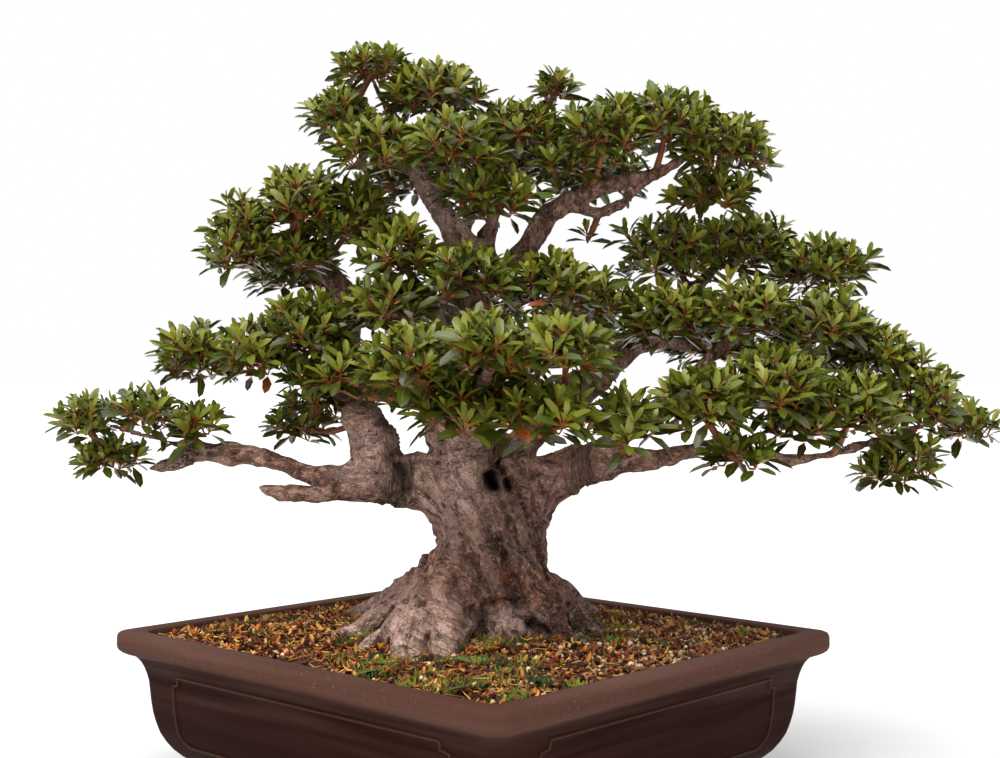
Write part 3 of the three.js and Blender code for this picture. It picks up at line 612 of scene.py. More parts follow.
def wrinkle(mesh):
    """Lumps, ridges along the grain, folds that twist round the trunk, and the places that sink in, with
    the painted shade inside them.
    """
    sunk = []
    for x1, z1, x2, z2, radius, depth, dark in SUNK:
        first, second = at(x1, 0, z1), at(x2, 0, z2)
        sunk.append((((first.x, first.z), (second.x, second.z)), radius / 1000, depth / 1000, dark))
    count = len(mesh.vertices)
    moved = np.empty((count, 3))
    grains = np.empty((count, 3))
    shade = np.zeros(count)
    for i, vertex in enumerate(mesh.vertices):
        place = vertex.co
        height = place.z - RIM
        spread = Vector((place.x - TRUNK_AXIS.x, place.y - TRUNK_AXIS.y, 0))
        grain = grain_place(place, spread, height)
        grains[i] = grain
        low = clip((0.17 - height) / 0.1)
        fold = noise.noise(twisted(spread, height, FOLDS_ROUND, height * FOLDS_UP))
        lump = noise.noise(place * LUMPS)
        knob = noise.noise(place * KNOBS + Vector((7, 3, 5)))
        ridge = 1 - 2 * abs(noise.noise(grain * RIDGES))
        groove = 1 - 2 * abs(noise.noise(grain * GROOVES + Vector((3, 1, 9))))
        pit = max(0, noise.noise(place * PITS) - 0.25)
        rise = FOLD_DEEP * low * fold + LUMP_DEEP * lump + KNOB_DEEP * knob + RIDGE_DEEP * (ridge - 0.5)
        rise -= GROOVE_DEEP * max(0, groove - 0.5) + PIT_DEEP * pit
        thin = 1 if spread.length < 0.1 and height < 0.2 else 0.5
        if height > 0.24:
            thin = 0.32
        out = POT_MIDDLE.x - place.x
        slim = smooth_step(out, 0.125, 0.155) * (1 - smooth_step(out, 0.2, 0.225)) * (height < 0.2)
        above = smooth_step(height, *LIMB_PARTING)
        rise -= LIMB_SLIM / thin * slim * above
        flank = math.exp(-((height - FLANK_HEIGHT) / 0.022) ** 2) * smooth_step(-vertex.normal.x, 0.2, 0.8)
        rise -= FLANK_SLIM * flank * (1 - smooth_step(spread.length, 0.09, 0.13))
        moved[i] = place + vertex.normal * rise * thin
        moved[i][2] += STUB_LIFT * slim * (1 - above)
        if place.y > TRUNK_AXIS.y + 0.01:
            continue
        for ends, radius, depth, dark in sunk:
            away = away_from(place.x, place.z, ends) / radius
            if away < 2:
                edge = 0.12 * math.exp(-((away - 1.45) / 0.3) ** 2)
                moved[i][1] += depth * (1 - smooth_step(away, 0.35, 1.1)) - edge * depth
                shade[i] = max(shade[i], dark * (1 - smooth_step(away, 0.45, 1.0)))
    mesh.vertices.foreach_set("co", moved.ravel())
    mesh.attributes.new("hollow_shade", "FLOAT", "POINT").data.foreach_set("value", shade)
    mesh.attributes.new("grain", "FLOAT_VECTOR", "POINT").data.foreach_set("vector", grains.ravel())
    mesh.update()


def far_from(place, spot):
    """How far each point is in metres from a spot, given in millimetres as for at."""
    return add_node(place, "VectorMath", {0: place, 1: at(*spot)}, operation="DISTANCE").outputs["Value"]


def make_bark():
    """Pinkish grey bark along its grain: umber and rust low down, pale where old skin is worn off, with
    painted light on its ridges and painted shade in its creases, pits and hollows.
    """
    finish, shader, place = start_finish("azalea_bark", 0.82)
    shader.inputs["Specular IOR Level"].default_value = 0.3
    parts = parts_of(place)
    high, side = less(parts["Z"], RIM), less(parts["X"], POT_MIDDLE.x)
    grain_way = add_node(shader, "Attribute", attribute_name="grain").outputs["Vector"]
    patch, grain = mottle(place, 30, 420)
    broad, fleck = mottle(place, 13, 120)
    long_patch, long_fleck = mottle(grain_way, 75, 330)
    wrinkles = clouds(grain_way, 190, 2.6, 0.9)
    flakes = clouds(place, 230, 2, 0.6)
    long_way = add_node(shader, "Mapping", {"Vector": grain_way, "Scale": (1, 1, 0.3)}).outputs[0]
    streaks = clouds(long_way, 130, 2)
    # Painted light and shade: raised wrinkles, flakes and long streaks get a lit, paler copy of the bark
    # colour, the rest a shaded, darker copy.
    painted_ridge_light = plus(plus(wrinkles, times(flakes, 0.5)), times(streaks, 0.9))
    painted_ridge_light = fade(painted_ridge_light, 1.08, 1.32)
    crease = fade(sums("ABSOLUTE", less(wrinkles, 0.5)), 0.03, 0.0)
    pore = times(fade(cells(grain_way, 150), 0.32, 0.2), fade(fleck, 0.4, 0.55))
    chip = times(fade(cells(place, 250), 0.26, 0.18), fade(fleck, 0.5, 0.35))
    low = fade(high, 0.17, 0.1)
    foot = fade(high, 0.06, 0.02)
    right = fade(side, -0.025, 0.03)
    limb = times(fade(side, -0.045, -0.065), fade(high, 0.09, 0.12))
    left = times(fade(side, 0.024, -0.004), fade(limb, 1.0, 0.0))
    colour = mix(long_patch, tone(BARK_GREY), tone(BARK_PINK))
    umber = times(low, times(right, fade(long_patch, 1.1, 0.25)))
    umber = sums("MAXIMUM", umber, times(limb, fade(broad, 0.35, 1.0)))
    colour = tint(colour, umber, 0.85, BARK_UMBER)
    leader = times(left, fade(high, 0.08, 0.13))
    knob = far_from(place, ROOT_KNOB)
    roots = sums("MAXIMUM", times(foot, fade(side, 0.045, 0.0)), fade(knob, 0.03, 0.019))
    roots = sums("MAXIMUM", roots, fade(far_from(place, LIMB_BEND), 0.05, 0.016))
    pale = times(sums("MAXIMUM", leader, roots), fade(long_fleck, -1.3, 0.4))
    colour = tint(colour, pale, 0.92, BARK_PALE)
    rust = times(fade(patch, 0.35, 0.55), fade(fleck, 0.3, 0.5))
    for part in (fade(side, 0.085, 0.05), fade(knob, 0.022, 0.032), fade(long_patch, 0.3, 0.55),
                 right, fade(high, 0.085, 0.05)):
        rust = times(rust, part)
    colour = tint(colour, rust, 0.9, BARK_RUST)
    spots = times(fade(fleck, 0.58, 0.85), fade(grain, 0.2, 0.7))
    lichen = times(fade(grain, 0.62, 0.9), fade(fleck, 0.6, 0.3))
    crook = far_from(place, LIMB_CROOK)
    damp = sums("MAXIMUM", fade(high, 0.03, 0.006), fade(crook, 0.034, 0.014))
    moss = times(fade(broad, 0.35, 0.7), times(damp, fade(fleck, 0.3, 0.6)))
    # The crease and pore tints are painted shade in the grooves and pits; the spots, lichen, moss and chip
    # tints are the bark's own colour.
    for mask, share, code in ((spots, 0.6, BARK_UMBER), (lichen, 0.7, BARK_LICHEN), (moss, 0.8, BARK_MOSS),
                              (crease, 0.35, BARK_UMBER), (pore, 0.75, BARK_UMBER),
                              (chip, 0.55, BARK_LICHEN)):
        colour = tint(colour, mask, share, code)
    dark = add_node(shader, "Attribute", attribute_name="hollow_shade").outputs["Fac"]
    # Painted light and shade: the shaded and lit copies of the bark colour.
    shaded = mix(0.36, colour, tone(BARK_UMBER))
    lit = mix(0.27, colour, tone(BARK_PALE))
    colour = mix(painted_ridge_light, shaded, lit)
    # Painted shade: the sunk places are painted near black inside.
    colour = mix(fade(dark, 0.15, 0.95), colour, tone(BARK_HOLLOW_SHADE))
    paint(shader, colour)
    relief = flakes
    for part, share in ((wrinkles, 1.1), (grain, 0.4), (fleck, 0.7), (crease, -0.35), (pore, -0.8)):
        relief = plus(relief, times(part, share))
    raise_surface(shader, relief, 1.0, 0.004)
    return finish


wood = model_wood()
wrinkle(wood.data)
smooth(wood)
give(wood, make_bark())
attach(wood, "root")
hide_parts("wood")

# Leaf sprays: the crown is tiers of sprays, each a twig that forks into shoots, and each shoot ends in
# a whorl of small leathery leaves, pale green and upright when new, darker and spread when old.
# A leaf's length, stations along it as shares of that, and half its width at each, in metres.
LEAF_LENGTH = 0.0265
LEAF_STATIONS = [0, 0.15, 0.5, 0.86, 1]
LEAF_WIDTHS = [0, 0.0014, 0.0045, 0.0033, 0]
LEAF_THICKNESS = 0.0003
# Whorls: how far inside a lobe's edge their tips stay, in millimetres, how they turn and lean, how many
# cover a lobe and how close they come, and how large leaves are at the back and grow to the front.
LEAF_REACH = 11
GOLDEN_TURN = math.radians(137.5)
WHORL_LEAN = 0.66
WHORLS_PER_LOBE = 26
WHORL_GAP = 0.0158
LEAF_SMALL = 0.8
LEAF_GAIN = 0.16
FORK_ANGLE = 1.26
# How far down a lobe its whorls go, of 2, how many shoots are long, and how far long and short ones
# reach, as shares of the lobe.
LOBE_COVER = 1.56
LONG_SHOOTS = 0.12
LONG_REACH = (1.15, 1.32)
SHORT_REACH = (0.76, 1.1)
# A whorl's fewest leaves and one over its most, the lean of its inner leaves in degrees and how much
# more its outer ones lean, how far either strays, and the share of whorls with a red leaf.
WHORL_LEAVES = (9, 14)
LEAF_LEAN = 12
LEAF_OPENING = 78
LEAF_STRAY = 9
RED_WHORLS = 0.05
LEAF_NEW = "#a2a334"
LEAF_GREEN = "#5a7019"
LEAF_OLD = "#3a380f"
LEAF_RED = "#a04a22"
LEAF_STALK = "#c0702c"
SHOOT_OLD = "#5c3822"
SHOOT_YOUNG = "#a05c28"
# Radii in metres along a twig, along a fork of it, and along a shoot with its bend and its tip.
TWIG_RADII = (0.0034, 0.003, 0.0024)
FORK_RADII = (0.0021, 0.0019, 0.0015)
SHOOT_RADII = (0.0013, 0.0011, 0.001, 0.0009)
# Each row: where the twig leaves its limb, then the lobes of the spray as x, y, height over the rim
# and half their width, depth and height.
PADS = {
    "apex": [(-94, 12, 515), (-94, 10, 527, 34, 35, 22), (-122, 15, 484, 33, 38, 30)],
    "apex_right": [(-82, 18, 490), (-38, 0, 502, 46, 45, 30)],
    "crown_left": [(-63, 20, 467), (-88, -22, 450, 46, 45, 29)],
    "crown_mid": [(-56, 15, 446), (-18, -32, 448, 46, 48, 33)],
    "crown_low": [(21, 0, 393), (16, -24, 404, 44, 42, 28)],
    "crown_centre": [(38, 6, 452), (44, 18, 470, 42, 46, 30), (76, 16, 506, 21, 22, 20)],
    "crown_right_in": [(109, 8, 408), (124, -8, 470, 42, 48, 32), (84, 12, 438, 34, 40, 25)],
    "crown_right_mid": [(169, 3, 425), (180, 5, 476, 46, 54, 34)],
    "crown_right_out": [(232, 8, 455), (232, 10, 454, 47, 45, 34), (224, 15, 412, 38, 35, 24)],
    "crown_sprig": [(118, 13, 390), (108, 24, 370, 16, 16, 16)],
    "upper_left_tip": [(-212, 18, 370), (-216, 15, 367, 34, 45, 41)],
    "upper_left_mid": [(-178, 24, 360), (-161, 5, 401, 42, 48, 38), (-166, 22, 354, 36, 38, 24)],
    "upper_left_in": [(-148, 28, 343), (-112, 22, 390, 40, 46, 40)],
    "centre_high": [(-52, -32, 325), (-64, -38, 350, 38, 42, 33)],
    "centre_left": [(-32, -18, 292), (-74, -48, 304, 42, 46, 28)],
    "centre_mid": [(20, -14, 296), (2, -62, 328, 44, 46, 32)],
    "centre_right": [(66, -38, 318), (68, -42, 322, 46, 46, 33), (116, 14, 310, 38, 38, 27)],
    "front_left": [(-6, -100, 222), (-48, -148, 253, 43, 46, 35), (-10, -140, 212, 40, 44, 27),
        (26, -106, 232, 36, 38, 25)],
    "front_mid": [(18, -155, 246), (18, -166, 266, 42, 50, 36)],
    "front_right": [(80, -130, 208), (80, -150, 262, 43, 46, 33)],
    "front_low": [(36, -122, 216), (58, -148, 208, 44, 46, 28)],
    "front_side": [(120, -122, 202), (134, -120, 202, 32, 38, 28)],
    "mid_left_tip": [(-250, -8, 258), (-254, -5, 260, 36, 40, 32)],
    "mid_left_mid": [(-205, -20, 256), (-203, -26, 262, 40, 44, 34)],
    "mid_left_in": [(-140, -14, 240), (-149, -22, 282, 40, 46, 38), (-112, -50, 244, 35, 40, 29),
        (-62, -58, 222, 28, 32, 20), (-142, -22, 240, 34, 34, 18)],
    "mid_left_low": [(-99, -5, 196), (-166, 26, 192, 32, 32, 25), (-139, 8, 216, 32, 34, 22)],
    "low_left_tip": [(-345, -32, 198), (-352, -30, 202, 27, 30, 24), (-334, -15, 166, 30, 30, 20)],
    "low_left_mid": [(-318, -34, 190), (-302, -36, 206, 36, 38, 22)],
    "low_left_in": [(-248, -28, 168), (-256, -24, 196, 32, 34, 21)],
    "right_upper_in": [(212, 62, 320), (192, 60, 360, 50, 48, 40)],
    "right_upper_mid": [(238, 72, 345), (266, 80, 366, 46, 48, 34)],
    "right_upper_tip": [(238, 72, 345), (334, 50, 344, 47, 44, 31)],
    "right_in": [(188, 52, 294), (182, 0, 294, 46, 46, 35)],
    "right_mid": [(245, -26, 282), (250, -28, 298, 45, 46, 36)],
    "right_out": [(335, -8, 282), (322, -12, 288, 45, 46, 35)],
    "right_far": [(368, 10, 266), (376, 20, 260, 40, 42, 36)],
    "right_front_in": [(185, -34, 222), (200, -92, 218, 44, 46, 36), (236, -78, 170, 38, 36, 19)],
    "right_front_mid": [(203, -30, 242), (269, -72, 234, 44, 46, 38), (294, -50, 196, 34, 36, 20)],
    "right_front_out": [(335, 5, 164), (341, -48, 210, 43, 42, 38)],
    "right_low": [(420, 10, 190), (412, 0, 218, 41, 42, 40)],
    "right_hanging": [(375, 8, 176), (400, 8, 160, 38, 38, 27)],
    "right_tip": [(452, 14, 198), (468, 20, 192, 28, 28, 25)],
    "crown_back_left": [(4, 84, 414), (-62, 108, 440, 50, 46, 34)],
    "crown_back_right": [(26, 110, 440), (40, 126, 458, 48, 46, 34), (122, 96, 436, 44, 42, 31)],
    "back_left": [(-90, 134, 288), (-112, 150, 306, 48, 46, 32)],
    "back_mid": [(0, 164, 286), (0, 192, 300, 48, 46, 32)],
    "back_right": [(86, 146, 280), (102, 166, 290, 48, 46, 32)],
    "right_back": [(236, 112, 262), (240, 134, 276, 46, 44, 32)],
    "right_back_tip": [(290, 108, 252), (314, 106, 254, 44, 42, 31)],
    "left_back": [(-172, 92, 338), (-182, 104, 346, 46, 44, 34)],
}
chance = np.random.default_rng(11)


def add_bead():
    """A closed ball of 16 faces with its poles along X, to be shaped by its corners."""
    bpy.ops.mesh.primitive_uv_sphere_add(segments=4, ring_count=4, rotation=(0, math.pi / 2, 0))
    bpy.ops.object.transform_apply()
    return bpy.context.object


def model_leaf():
    """One leaf along +X with its upper side towards +Z: a closed, folded, slightly hanging blade."""
    leaf = add_bead()
    mesh = leaf.data
    rings = sorted({round(v.co.x, 4) for v in mesh.vertices})
    spots = {}
    for vertex in mesh.vertices:
        ring = rings.index(round(vertex.co.x, 4))
        part, half = LEAF_STATIONS[ring], LEAF_WIDTHS[ring]
        side = 0 if abs(vertex.co.y) < 0.1 else math.copysign(1, vertex.co.y)
        face = 0 if side or not half else math.copysign(1, vertex.co.z)
        droop = 0.14 * part ** 2.2 * LEAF_LENGTH
        fold = abs(side) * half * 0.42
        vertex.co = (LEAF_LENGTH * part, side * half, fold + face * LEAF_THICKNESS - droop)
        spots[vertex.index] = (part, 0.5 + side / 2)
    chart = mesh.uv_layers.active
    for loop in mesh.loops:
        chart.data[loop.index].uv = spots[loop.vertex_index]
    edit(bpy.ops.mesh.normals_make_consistent, inside=False)
    return leaf


def lay_copies(name, model, places, tones):
    """One mesh of copies of a small model: one for each 4 by 4 place, each with a tone of its own."""
    mesh = model.data
    corners = np.array([v.co[:] for v in mesh.vertices])
    sizes = np.array([len(p.vertices) for p in mesh.polygons])
    loops = np.array([i for p in mesh.polygons for i in p.vertices])
    chart = np.empty(len(loops) * 2)
    mesh.uv_layers.active.data.foreach_get("uv", chart)
    count = len(places)
    places = np.array(places, float)
    spots = np.einsum("kij,nj->kni", places[:, :3, :3], corners) + places[:, None, :3, 3]
    made = bpy.data.meshes.new(name)
    made.vertices.add(count * len(corners))
    made.vertices.foreach_set("co", spots.ravel())
    made.loops.add(count * len(loops))
    steps = np.arange(count)[:, None] * len(corners)
    made.loops.foreach_set("vertex_index", (loops[None] + steps).ravel())
    made.polygons.add(count * len(sizes))
    starts = np.concatenate([[0], np.cumsum(np.tile(sizes, count))[:-1]])
    made.polygons.foreach_set("loop_start", starts)
    made.uv_layers.new(name="blade").data.foreach_set("uv", np.tile(chart, count))
    colours = np.repeat(np.array(tones, float), len(corners), axis=0)
    made.attributes.new("tone", "FLOAT_COLOR", "POINT").data.foreach_set("color", colours.ravel())
    made.validate()
    made.update()
    return show(name, made)


def aim(forward, up, size, origin):
    """The place of a copy whose X goes forward and whose Z leans up."""
    forward = forward.normalized()
    across = up.cross(forward).normalized()
    upward = forward.cross(across)
    place = Matrix((forward, across, upward)).transposed().to_4x4()
    return Matrix.Translation(origin) @ place @ Matrix.Scale(size, 4)


def whorl_leaves(tip, axis, size, places, tones):
    """The leaves round one shoot's tip, from the small upright inner ones to the spread outer ones."""
    across = axis.orthogonal().normalized()
    count = int(chance.integers(*WHORL_LEAVES))
    start = chance.uniform(0, 6.3)
    red = chance.random() < RED_WHORLS
    fresh = chance.uniform(-0.35, 0.3)
    for i in range(count):
        part = i / (count - 1)
        round_way = Matrix.Rotation(start + i * GOLDEN_TURN, 3, axis) @ across
        lean = LEAF_LEAN + LEAF_OPENING * part ** 0.9 + chance.uniform(-LEAF_STRAY, LEAF_STRAY)
        lean = math.radians(lean)
        forward = axis * math.cos(lean) + round_way * math.sin(lean)
        up = axis * math.sin(lean) - round_way * math.cos(lean)
        up = Matrix.Rotation(chance.uniform(-0.35, 0.35), 3, forward) @ up
        length = size * (0.62 + 0.42 * min(1, part * 1.8)) * chance.uniform(0.78, 1.2)
        root = tip - axis * (0.010 * part) + round_way * 0.0012
        places.append(aim(forward, up, length, root))
        new = clip(1.1 - 1.7 * part + fresh + chance.uniform(-0.15, 0.15))
        old = clip((part - 0.45) * 1.7 - fresh + chance.uniform(-0.3, 0.3))
        shade = between(between(tone(LEAF_GREEN), tone(LEAF_NEW), new), tone(LEAF_OLD), old)
        if red and part > 0.75 and chance.random() < 0.4:
            shade = tone(LEAF_RED)
        tones.append(shade)


def lobe_whorls(lobe, size, taken):
    """Tips and directions of the whorls that cover one lobe, kept clear of those already placed."""
    x, y, z, half_width, half_depth, half_height = lobe
    middle = at(x, y, z - 0.12 * half_height)
    inner = [max(half - size * LEAF_REACH, 6) / 1000 for half in (half_width, half_depth, half_height)]
    whorls = []
    spin = chance.uniform(0, 6.3)
    count = round(WHORLS_PER_LOBE / size ** 2)
    for i in range(count):
        level = 1 - LOBE_COVER * (i + 0.5) / count
        ring = math.sqrt(1 - level * level)
        turn = spin + i * GOLDEN_TURN
        way = Vector((math.cos(turn) * ring, math.sin(turn) * ring, level))
        reach = LONG_REACH if chance.random() < LONG_SHOOTS else SHORT_REACH
        tip = middle + Vector([a * b for a, b in zip(way, inner)]) * chance.uniform(*reach)
        if any((tip - other).length < WHORL_GAP * size for other in taken):
            continue
        taken.append(tip)
        axis = Vector((way.x * WHORL_LEAN, way.y * WHORL_LEAN, 1 + 0.45 * min(way.z, 0)))
        axis += Vector(chance.uniform(-0.2, 0.2, 3))
        whorls.append((tip, axis.normalized()))
    return whorls


def make_leaf_finish():
    """A leathery blade in its own tone, with a paler vein, faint ribs and a reddish stalk."""
    finish, shader, place = start_finish("azalea_leaf", 0.3)
    shader.inputs["Specular IOR Level"].default_value = 0.36
    shader.inputs["Coat Weight"].default_value = 0.36
    shader.inputs["Coat Roughness"].default_value = 0.13
    own = add_node(shader, "Attribute", attribute_name="tone").outputs["Color"]
    chart = add_node(shader, "UVMap", uv_map="blade").outputs[0]
    parts = parts_of(chart)
    along, side = parts["X"], sums("ABSOLUTE", less(parts["Y"], 0.5))
    patch, grain = mottle(place, 120, 1500)
    vein = times(fade(side, 0.06, 0.0), fade(along, 1.0, 0.75))
    ribs = sums("SINE", times(less(along, side), 46))
    colour = mix(times(patch, 0.35), own, tone(LEAF_OLD))
    colour = tint(colour, vein, 0.4, LEAF_NEW)
    colour = mix(fade(along, 0.34, 0.08), colour, tone(LEAF_STALK))
    paint(shader, colour)
    feed(shader.inputs["Roughness"], fade(grain, -1.9, 4.6))
    raise_surface(shader, less(times(ribs, 0.35), vein), 0.3, 0.0004)
    return finish


leaf_model = model_leaf()
leaf_finish = make_leaf_finish()
taken = []
twig_runs = []
shoot_runs = []
for name, (foot, *lobes) in PADS.items():
    places, tones = [], []
    bearer = at(*foot)
    for lobe in lobes:
        x, y, z, *_, half_height = lobe
        size = LEAF_SMALL + LEAF_GAIN * smooth_step(-y, -20, 110)
        whorls = lobe_whorls(lobe, size, taken)
        fork = at(x, y, z - 0.25 * half_height)
        middle = (bearer + fork) / 2 - Vector((0, 0, 0.08 * (fork - bearer).length))
        twig_runs.append(list(zip((bearer, middle, fork), TWIG_RADII)))
        bearer = fork
        groups = {}
        for tip, axis in whorls:
            turn = math.atan2(tip.y - fork.y, tip.x - fork.x)
            groups.setdefault(int((turn + math.pi) / FORK_ANGLE), []).append((tip, axis))
        for group in groups.values():
            average = sum((tip for tip, _ in group), Vector()) / len(group)
            knee = fork.lerp(average, 0.48)
            hang = fork.lerp(knee, 0.5) - Vector((0, 0, 0.002))
            twig_runs.append(list(zip((fork, hang, knee), FORK_RADII)))
            for tip, axis in group:
                base = tip - axis * 0.009
                bend = knee.lerp(base, 0.55) - Vector((0, 0, 0.004))
                shoot_runs.append(list(zip((knee, bend, base, tip), SHOOT_RADII)))
                whorl_leaves(tip, axis, size * chance.uniform(0.88, 1.12), places, tones)
    spray = lay_copies("spray_" + name, leaf_model, places, tones)
    smooth(spray, 50)
    give(spray, leaf_finish)
    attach(spray, "root")
    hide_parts("leaves_" + name)
twigs = tubes("twigs", twig_runs, 6)
shoots = tubes("shoots", shoot_runs, 4)
shoot_finish = make_speckled("young_shoot", 0.6, SHOOT_OLD, SHOOT_YOUNG, 0.4, 0.0004)
for piece in (twigs, shoots):
    give(piece, shoot_finish)
    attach(piece, "root")

# Soil and its cover: a free-draining granular bed, mounded to the trunk. On it lie golden bark husks,
# straw, pale grit that gathers on the right, a few fallen leaves, and tufts of moss near the roots.
SOIL_BROWN = "#4b2f1c"
SOIL_GOLD = "#96602c"
SOIL_DARK = "#1f130c"
HUSK_TONES = ["#d0802e", "#9a5522", "#6f3519", "#e0a850", "#8f3c20", "#42210f", "#b8702e", "#5c2c17"]
GRIT_TONES = ["#e2c49a", "#c9906a", "#b87850", "#ecd2a8", "#9c5c40"]
STRAW_TONES = ["#d8ad58", "#b57a30", "#8f5a26"]
MOSS_TONES = ["#56852a", "#3f6a1c", "#86962a", "#2f5420", "#9aa032"]
SOIL_LONG = 0.217
SOIL_SHORT = 0.199
HUSK_COUNT = 4300
GRIT_COUNT = 1700
STRAW_COUNT = 1100
MOSS_PATCHES = 150
MOSS_BLADES = 80
# Moss is thick this far round a middle at the trunk's foot, thins out over the next stretch, and is
# this likely in front and elsewhere.
MOSS_MIDDLE = Vector((0.02, -0.03, 0))
MOSS_NEAR = 0.085
MOSS_FADE = 0.045
MOSS_FRONT = 0.5
MOSS_ELSEWHERE = 0.07
# Half a bark husk's length, in metres.
HUSK_LONG = 0.0046


def make_soil_finish():
    """Brown and golden grains, with painted shade in the gaps between them."""
    finish, shader, place = start_finish("granular_soil", 0.95)
    patch, grain = mottle(place, 70, 500)
    lumps = cells(place, 240)
    colour = mix(patch, tone(SOIL_BROWN), tone(SOIL_GOLD))
    colour = tint(colour, grain, 0.6, SOIL_DARK)
    # Painted shade: the gaps between the grains are painted dark.
    colour = mix(fade(lumps, 0.35, 0.75), colour, tone(SOIL_DARK))
    paint(shader, colour)
    raise_surface(shader, less(times(grain, 0.4), lumps), 1.0, 0.003)
    return finish


def make_litter_finish(name, roughness):
    """Each scrap in its own tone, with darker patches."""
    finish, shader, place = start_finish(name, roughness)
    own = add_node(shader, "Attribute", attribute_name="tone").outputs["Color"]
    patch, grain = mottle(place, 300, 1800)
    colour = mix(times(patch, 0.35), own, tone(SOIL_DARK))
    paint(shader, colour)
    raise_surface(shader, grain, 0.5, 0.0004)
    return finish


def model_husk():
    """A curled flake of bark, 9 mm long."""
    husk = add_bead()
    for vertex in husk.data.vertices:
        vertex.co = (HUSK_LONG * vertex.co.x, 0.002 * vertex.co.y, 0.0006 * vertex.co.z)
        vertex.co.z += 0.0026 * (vertex.co.x / HUSK_LONG) ** 2
    return husk


def model_grit():
    """A sharp-edged grain of grit, 4 mm across."""
    bpy.ops.mesh.primitive_ico_sphere_add(subdivisions=1, radius=0.002)
    grit = bpy.context.object
    for i, vertex in enumerate(grit.data.vertices):
        vertex.co *= 0.8 + 0.45 * ((i * 7) % 5) / 5
        vertex.co.z *= 0.7
    return grit


def model_straw():
    """A thin bent stalk, 16 mm long."""
    bpy.ops.mesh.primitive_cylinder_add(vertices=4, radius=0.0006, depth=0.016,
                                        rotation=(0, math.pi / 2, 0))
    straw = bpy.context.object
    bpy.ops.object.transform_apply()
    for vertex in straw.data.vertices:
        if vertex.co.x > 0:
            vertex.co.y += 0.003
            vertex.co.z += 0.0012
    return straw


def model_moss():
    """One pointed blade of moss, 8 mm tall."""
    bpy.ops.mesh.primitive_cone_add(vertices=3, radius1=0.0009, depth=0.008, location=(0, 0, 0.004))
    bpy.ops.object.transform_apply()
    return bpy.context.object


ground_tree = tree_of(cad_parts["soil"])
wood_tree = tree_of(wood)
DOWN = Vector((0, 0, -1))


def ground(long_way, short_way):
    """The soil's surface there, or nothing under wood and past the pot's wall."""
    if abs(long_way) > SOIL_LONG or abs(short_way) > SOIL_SHORT:
        return None
    start = in_pot(long_way, short_way, RIM + 0.035)
    found = ground_tree.ray_cast(start, DOWN)[0]
    over = wood_tree.ray_cast(start, DOWN)[0]
    if found is None or over is not None and over.z > found.z - 0.001:
        return None
    return found


def lie(spot, size, tilt):
    """The place of a scrap that lies on the ground, turned any way and a little tilted."""
    turn = Matrix.Rotation(chance.uniform(0, 6.3), 4, "Z")
    nod = Matrix.Rotation(chance.uniform(-tilt, tilt), 4, "X")
    roll = Matrix.Rotation(chance.uniform(-tilt, tilt), 4, "Y")
    return Matrix.Translation(spot) @ turn @ nod @ roll @ Matrix.Scale(size, 4)


def any_tone(codes):
    """One of these colours, by chance."""
    return np.array(tone(codes[int(chance.integers(len(codes)))]))


def any_place():
    """A place on the soil along the pot's two sides, and how far it is from the pot's middle."""
    long_way = chance.uniform(-SOIL_LONG, SOIL_LONG)
    short_way = chance.uniform(-SOIL_SHORT, SOIL_SHORT)
    return long_way, short_way, in_pot(long_way, short_way, 0) - in_pot(0, 0, 0)


def strew(name, model, count, codes, sizes, tilt, lift, spread):
    """Scatters copies of a scrap over the soil; spread says how likely one is at a place."""
    places, tones = [], []
    while len(places) < count:
        long_way, short_way, offset = any_place()
        if chance.random() > spread(offset):
            continue
        found = ground(long_way, short_way)
        if found is None:
            continue
        above = Vector((0, 0, lift * chance.random()))
        places.append(lie(found + above, chance.uniform(*sizes), tilt))
        shade = any_tone(codes)
        shade[:3] *= chance.uniform(0.4, 1.7) * (1.08 - 1.3 * offset.x)
        tones.append(shade)
    piece = lay_copies(name, model, places, tones)
    bpy.data.objects.remove(model)
    return piece


def everywhere(offset):
    """As likely in one place as in another."""
    return 1


def mostly_right(offset):
    """Likelier to the right of the trunk."""
    return 0.12 + 0.88 * clip(offset.x / 0.2)


def moss_places():
    """Blades in patches: thick at the trunk's foot, and thinner towards the front and the left."""
    places, tones = [], []
    patches = 0
    while patches < MOSS_PATCHES:
        long_way, short_way, offset = any_place()
        near = max(0, 1 - max(0, (offset - MOSS_MIDDLE).length - MOSS_NEAR) / MOSS_FADE)
        front = -0.12 < offset.x < 0.07 and offset.y < -0.05
        liking = max(near, MOSS_FRONT if front else MOSS_ELSEWHERE)
        if chance.random() > liking:
            continue
        patches += 1
        wide = chance.uniform(0.003, 0.009)
        shade = any_tone(MOSS_TONES)
        for i in range(MOSS_BLADES):
            found = ground(long_way + chance.normal(0, wide), short_way + chance.normal(0, wide))
            if found is None:
                continue
            places.append(lie(found - Vector((0, 0, 0.001)), chance.uniform(0.6, 1.3), 0.7))
            tones.append(shade * chance.uniform(0.7, 1.3))
    return places, tones


give(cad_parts["soil"], make_soil_finish())
# Each scrap's name, model, number, tones, sizes, tilt and lift, and where it is likely to lie.
cover = [
    strew("bark_husks", model_husk(), HUSK_COUNT, HUSK_TONES, (0.5, 1.45), 0.7, 0.004, everywhere),
    strew("grit_grains", model_grit(), GRIT_COUNT, GRIT_TONES, (0.5, 1.6), 1.5, 0.004, mostly_right),
    strew("straw", model_straw(), STRAW_COUNT, STRAW_TONES, (0.5, 1.3), 0.3, 0.003, everywhere),
]
moss_blade = model_moss()
cover.append(lay_copies("moss", moss_blade, *moss_places()))
bpy.data.objects.remove(moss_blade)
litter_finish = make_litter_finish("dry_litter", 0.8)
moss_finish = make_litter_finish("moss_green", 0.9)
for piece in cover:
    give(piece, moss_finish if piece.name == "moss" else litter_finish)
    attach(piece, "root")

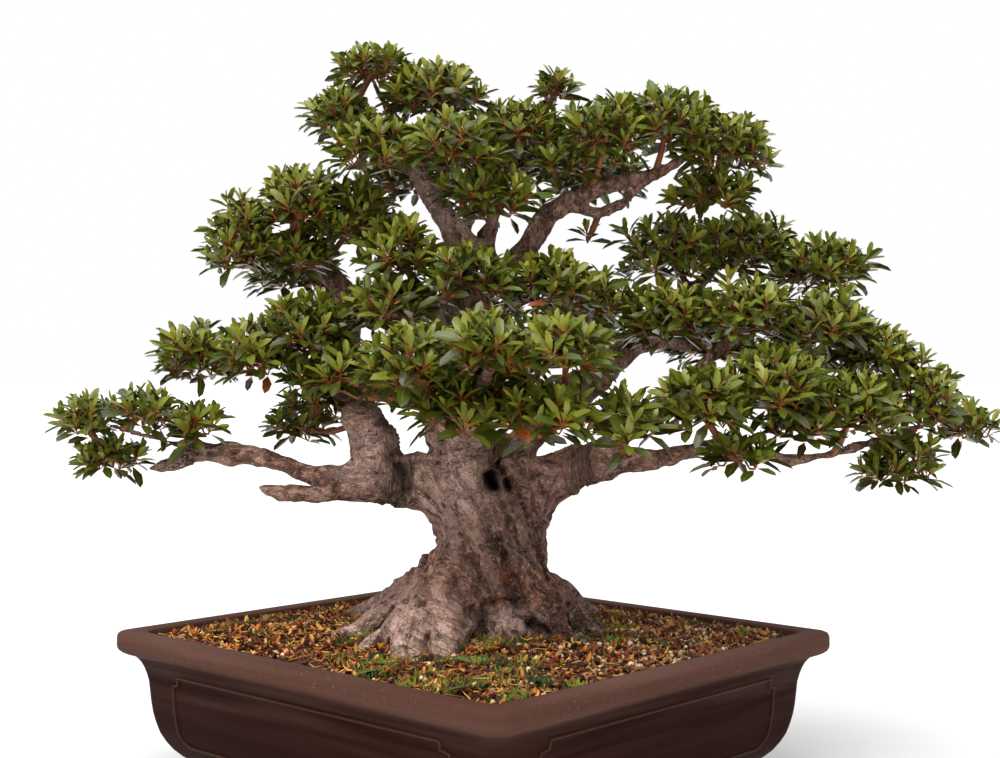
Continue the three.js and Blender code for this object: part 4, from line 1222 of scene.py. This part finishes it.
# Fallen leaves: a few old leaves that the tree has shed, yellow, brown and red. They are the same small
# folded blades as on its sprays, and lie loose on the husks and the grit.
FALLEN_TONES = ["#9a8a2e", "#a4552a", "#8f1f22", "#6f7a2c", "#b07a34"]
FALLEN_COUNT = 26
FALLEN_SIZES = (0.6, 1.0)
FALLEN_TILT = 0.35
FALLEN_LIFT = 0.004
fallen_places, fallen_tones = [], []
while len(fallen_places) < FALLEN_COUNT:
    found = ground(*any_place()[:2])
    if found is not None:
        spot = found + Vector((0, 0, FALLEN_LIFT))
        fallen_places.append(lie(spot, chance.uniform(*FALLEN_SIZES), FALLEN_TILT))
        fallen_tones.append(any_tone(FALLEN_TONES))
fallen = lay_copies("fallen_leaves", leaf_model, fallen_places, fallen_tones)
give(fallen, litter_finish)
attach(fallen, "root")
bpy.data.objects.remove(leaf_model)

# Floor, light and camera: a plain pale floor under soft studio light, seen as in the photograph. The
# surround glows, more from above, and one wide softbox lights the tree from above and the front left.
FLOOR_HALF = 20
FLOOR_TONE = "#f4f4f4"
CAMERA_PLACE = (25.3, -1451.8, 258.1)
CAMERA_LENS = 56.2
CAMERA_SENSOR = 36
CAMERA_DIP = math.radians(0.92)
SKY_LOW = 0.27
SKY_TOP = 1.25
SOFTBOX_WAY = Vector((0.6, 1.2, -2.3))
SOFTBOX_WIDTH = math.radians(45)
SOFTBOX_POWER = 1.8
bpy.ops.mesh.primitive_plane_add(size=2 * FLOOR_HALF)
floor = bpy.context.object
floor.name = "floor"
floor_finish, floor_shader = start_finish("pale_floor", 0.9)[:2]
paint(floor_shader, tone(FLOOR_TONE))
give(floor, floor_finish)

world = bpy.data.worlds.new("pale_surround")
bpy.context.scene.world = world
world.use_nodes = True
sky = world.node_tree
upward = parts_of(add_node(sky, "TexCoord").outputs["Generated"])["Z"]
glow = plus(times(fade(upward, 0.0, 0.9), SKY_TOP - SKY_LOW), SKY_LOW)
seen = add_node(sky, "LightPath").outputs["Is Camera Ray"]
backdrop = sky.nodes["Background"].inputs
feed(backdrop["Strength"], sums("MAXIMUM", glow, seen))
backdrop["Color"].default_value = (1, 1, 1, 1)

light = bpy.data.lights.new("wide_softbox", "SUN")
light.energy = SOFTBOX_POWER
light.angle = SOFTBOX_WIDTH
lamp = show("wide_softbox", light)
lamp.rotation_euler = SOFTBOX_WAY.to_track_quat("-Z", "Y").to_euler()

camera = show("camera", bpy.data.cameras.new("camera"))
camera.data.lens = CAMERA_LENS
camera.data.sensor_width = CAMERA_SENSOR
camera.location = at(*CAMERA_PLACE)
camera.rotation_euler = (math.pi / 2 - CAMERA_DIP, 0, 0)
bpy.context.scene.camera = camera
bpy.context.scene.view_settings.view_transform = "Standard"
